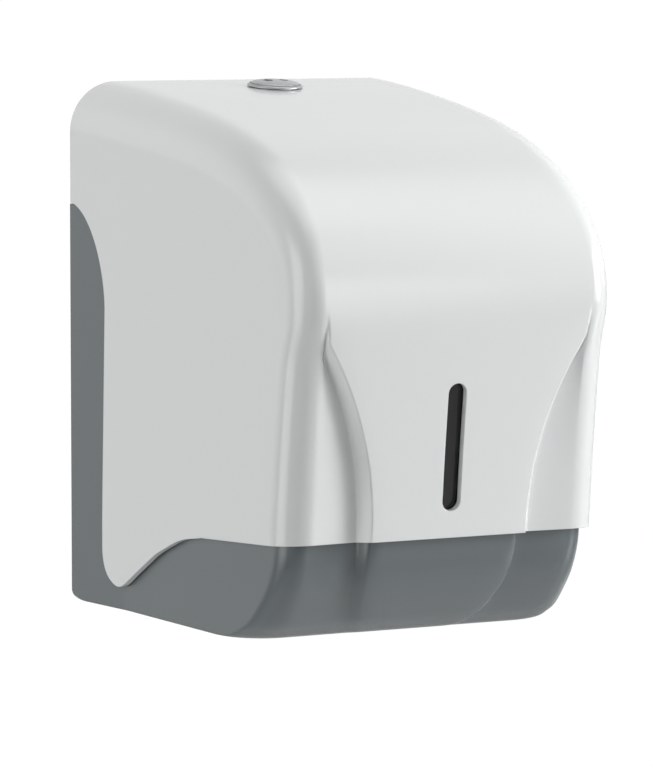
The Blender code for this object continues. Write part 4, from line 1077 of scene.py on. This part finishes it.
blade = {"toothLength": 0.0022, "teeth": 30, "bevel": 0.45, "drill": 0.00155, "drillPast": 0.01,
         "sharpAngle": 20}


def bladeTree(material):
    tree, given, out = newTree("Geometry", "toothedBlade", {
        "Plate": "NodeSocketGeometry", "Tooth": "NodeSocketObject", "Count": 30,
        "Start": (0.0, 0.0, 0.0), "Pitch": 0.003})
    offset = node(tree, "ShaderNodeCombineXYZ", {"X": given["Pitch"]})
    row = node(tree, "GeometryNodeMeshLine", {
        "Count": given["Count"], "Start Location": given["Start"], "Offset": offset.outputs[0],
    }, mode="OFFSET", count_mode="TOTAL")
    model = node(tree, "GeometryNodeObjectInfo", {"Object": given["Tooth"]})
    spread = node(tree, "GeometryNodeInstanceOnPoints", {
        "Points": row.outputs[0], "Instance": model.outputs["Geometry"]})
    joined = node(tree, "GeometryNodeJoinGeometry", {0: spread.outputs[0]})
    feed(tree, joined, {0: given["Plate"]})
    return endTree(tree, out, joined.outputs[0], material)


def makeBlade(material):
    low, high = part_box("tear_strip")
    tooth, past = blade["toothLength"], blade["drillPast"]
    pitch = (high.x - low.x) / blade["teeth"]
    half, rear, thick = pitch / 2, high.y - tooth, high.z - low.z
    plate = meshObject("toothedBlade", block(low, (high.x, rear, high.z)), material)
    holes = []
    for nodeName in tearScrews:
        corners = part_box(nodeName)
        spot = (corners[0] + corners[1]) / 2
        holes.append(drill(blade["drill"], low.z - past, high.z + past, (spot.x, spot.y, 0)))
    cut(plate, gather(holes))
    ground = [(-half, 0, 0), (half, 0, 0), (0, tooth, 0)]
    upper = [(-half, 0, thick), (half, 0, thick), (0, tooth * blade["bevel"], thick)]
    model = meshObject("tooth", loft([ground, upper]))
    runTree(plate, bladeTree(material), {"Tooth": model, "Count": blade["teeth"], "Pitch": pitch,
                                         "Start": (low.x + half, rear, low.z)})
    bpy.data.objects.remove(model, do_unlink=True)
    plate.data.set_sharp_from_angle(angle=radians(blade["sharpAngle"]))
    return dress(plate, "housing", "blade_steel", "tear_strip")


makeBlade(finishes["blade"])
print("tear strip made")


# Floor, world and lamps

stage = {
    "floorDrop": 1.0, "floorHalf": 150, "floorColour": (0.86, 0.86, 0.86), "floorRoughness": 0.9,
    "floorSpecular": 0.1, "whiteShare": 0.92, "glow": 1.1, "worldDiffuse": 0.04,
    "worldGlossy": 0.4, "feather": 0.67, "unmirrored": ("keyHigh", "keyOuter"),
}


def blendShaders(tree, share, seen, other, output):
    # share is how much of the second shader shows
    blend = node(tree, "ShaderNodeMixShader", {"Fac": share, 1: seen.outputs[0],
                                               2: other.outputs[0]})
    feed(tree, tree.nodes[output], {"Surface": blend.outputs[0]})


floorMesh = bmesh.new()
bmesh.ops.create_grid(floorMesh, x_segments=1, y_segments=1, size=stage["floorHalf"])
put(floorMesh, Matrix.Translation((0, 0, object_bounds()[0].z - stage["floorDrop"])))
floorPaint = bpy.data.materials.new("paleFloorPaint")
floorPaint.use_nodes = True
tree = floorPaint.node_tree
paint = feed(tree, tree.nodes["Principled BSDF"], {
    "Base Color": (*stage["floorColour"], 1), "Roughness": stage["floorRoughness"],
    "Specular IOR Level": stage["floorSpecular"]})
glow = node(tree, "ShaderNodeEmission", {"Strength": stage["glow"]})
path = node(tree, "ShaderNodeLightPath").outputs
blendShaders(tree, calc(tree, "MULTIPLY", path["Is Camera Ray"], stage["whiteShare"]),
             paint, glow, "Material Output")
meshObject("paleFloor", floorMesh, floorPaint)

world = bpy.data.worlds.new("softRoom")
scene.world = world
world.use_nodes = True
tree = world.node_tree
path = node(tree, "ShaderNodeLightPath").outputs
mirrored = calc(tree, "MULTIPLY", path["Is Glossy Ray"], stage["worldGlossy"])
soft = feed(tree, tree.nodes["Background"], {
    "Color": (1, 1, 1, 1), "Strength": calc(tree, "MAXIMUM", mirrored, stage["worldDiffuse"])})
white = node(tree, "ShaderNodeBackground", {"Color": (1, 1, 1, 1)})
blendShaders(tree, calc(tree, "MAXIMUM", path["Is Camera Ray"], path["Is Transmission Ray"]),
             soft, white, "World Output")

# azimuth towards the right, elevation, distance, width, height, watts per square metre
lamps = {
    "keyMain": (59, 10, 1.4, 0.54, 1.12, 44.5),
    "keyInner": (46, 10, 1.4, 0.54, 1.12, 16.0),
    "keyHigh": (59, 36, 1.4, 0.54, 1.12, 14.0),
    "keyLow": (68, -28, 1.4, 0.70, 0.80, 5.0),
    "keyOuter": (75, 36, 1.4, 0.75, 1.12, 4.5),
    "rightLow": (120, -24, 1.4, 0.75, 0.82, 2.0),
    "frontStrip": (20, 4, 1.4, 0.54, 1.12, 5.6),
    "frontLow": (27, -26, 1.4, 0.80, 0.90, 2.2),
    "leftFront": (-50, 4, 1.7, 1.2, 2.1, 1.7),
    "leftSide": (-85, 4, 1.4, 1.2, 2.1, 8.2),
    "leftRear": (-135, 4, 1.4, 1.8, 2.1, 0.90),
    "backWall": (180, 8, 1.3, 6.0, 3.6, 1.35),
    "overhead": (0, 88, 1.4, 1.8, 1.8, 6.0),
}


def feather(tree, share):
    # the lamp's glow fades over the outer share of its half width and half height
    spot = node(tree, "ShaderNodeNewGeometry").outputs["Parametric"]
    parts = node(tree, "ShaderNodeSeparateXYZ", {0: spot}).outputs
    fades = []
    for axis in ("X", "Y"):
        away = calc(tree, "ABSOLUTE", calc(tree, "MULTIPLY_ADD", parts[axis], 2.0, -1.0))
        fade = node(tree, "ShaderNodeMapRange", {
            "Value": away, "From Min": 1 - share, "To Min": 1.0, "To Max": 0.0,
        }, interpolation_type="SMOOTHSTEP")
        fades.append(fade.outputs[0])
    feed(tree, tree.nodes["Emission"], {"Strength": calc(tree, "MULTIPLY", *fades)})


for lampName, (around, up, distance, width, height, watts) in lamps.items():
    data = bpy.data.lights.new(lampName, "AREA")
    data.shape = "RECTANGLE"
    data.size = width
    data.size_y = height
    data.energy = watts * width * height
    data.use_nodes = True
    feather(data.node_tree, stage["feather"])
    lamp = aimed(lampName, data, radians(around), radians(up), distance)
    lamp.visible_camera = False
    lamp.visible_glossy = lampName not in stage["unmirrored"]

scene.view_settings.view_transform = "Standard"
print("stage and lamps ready")
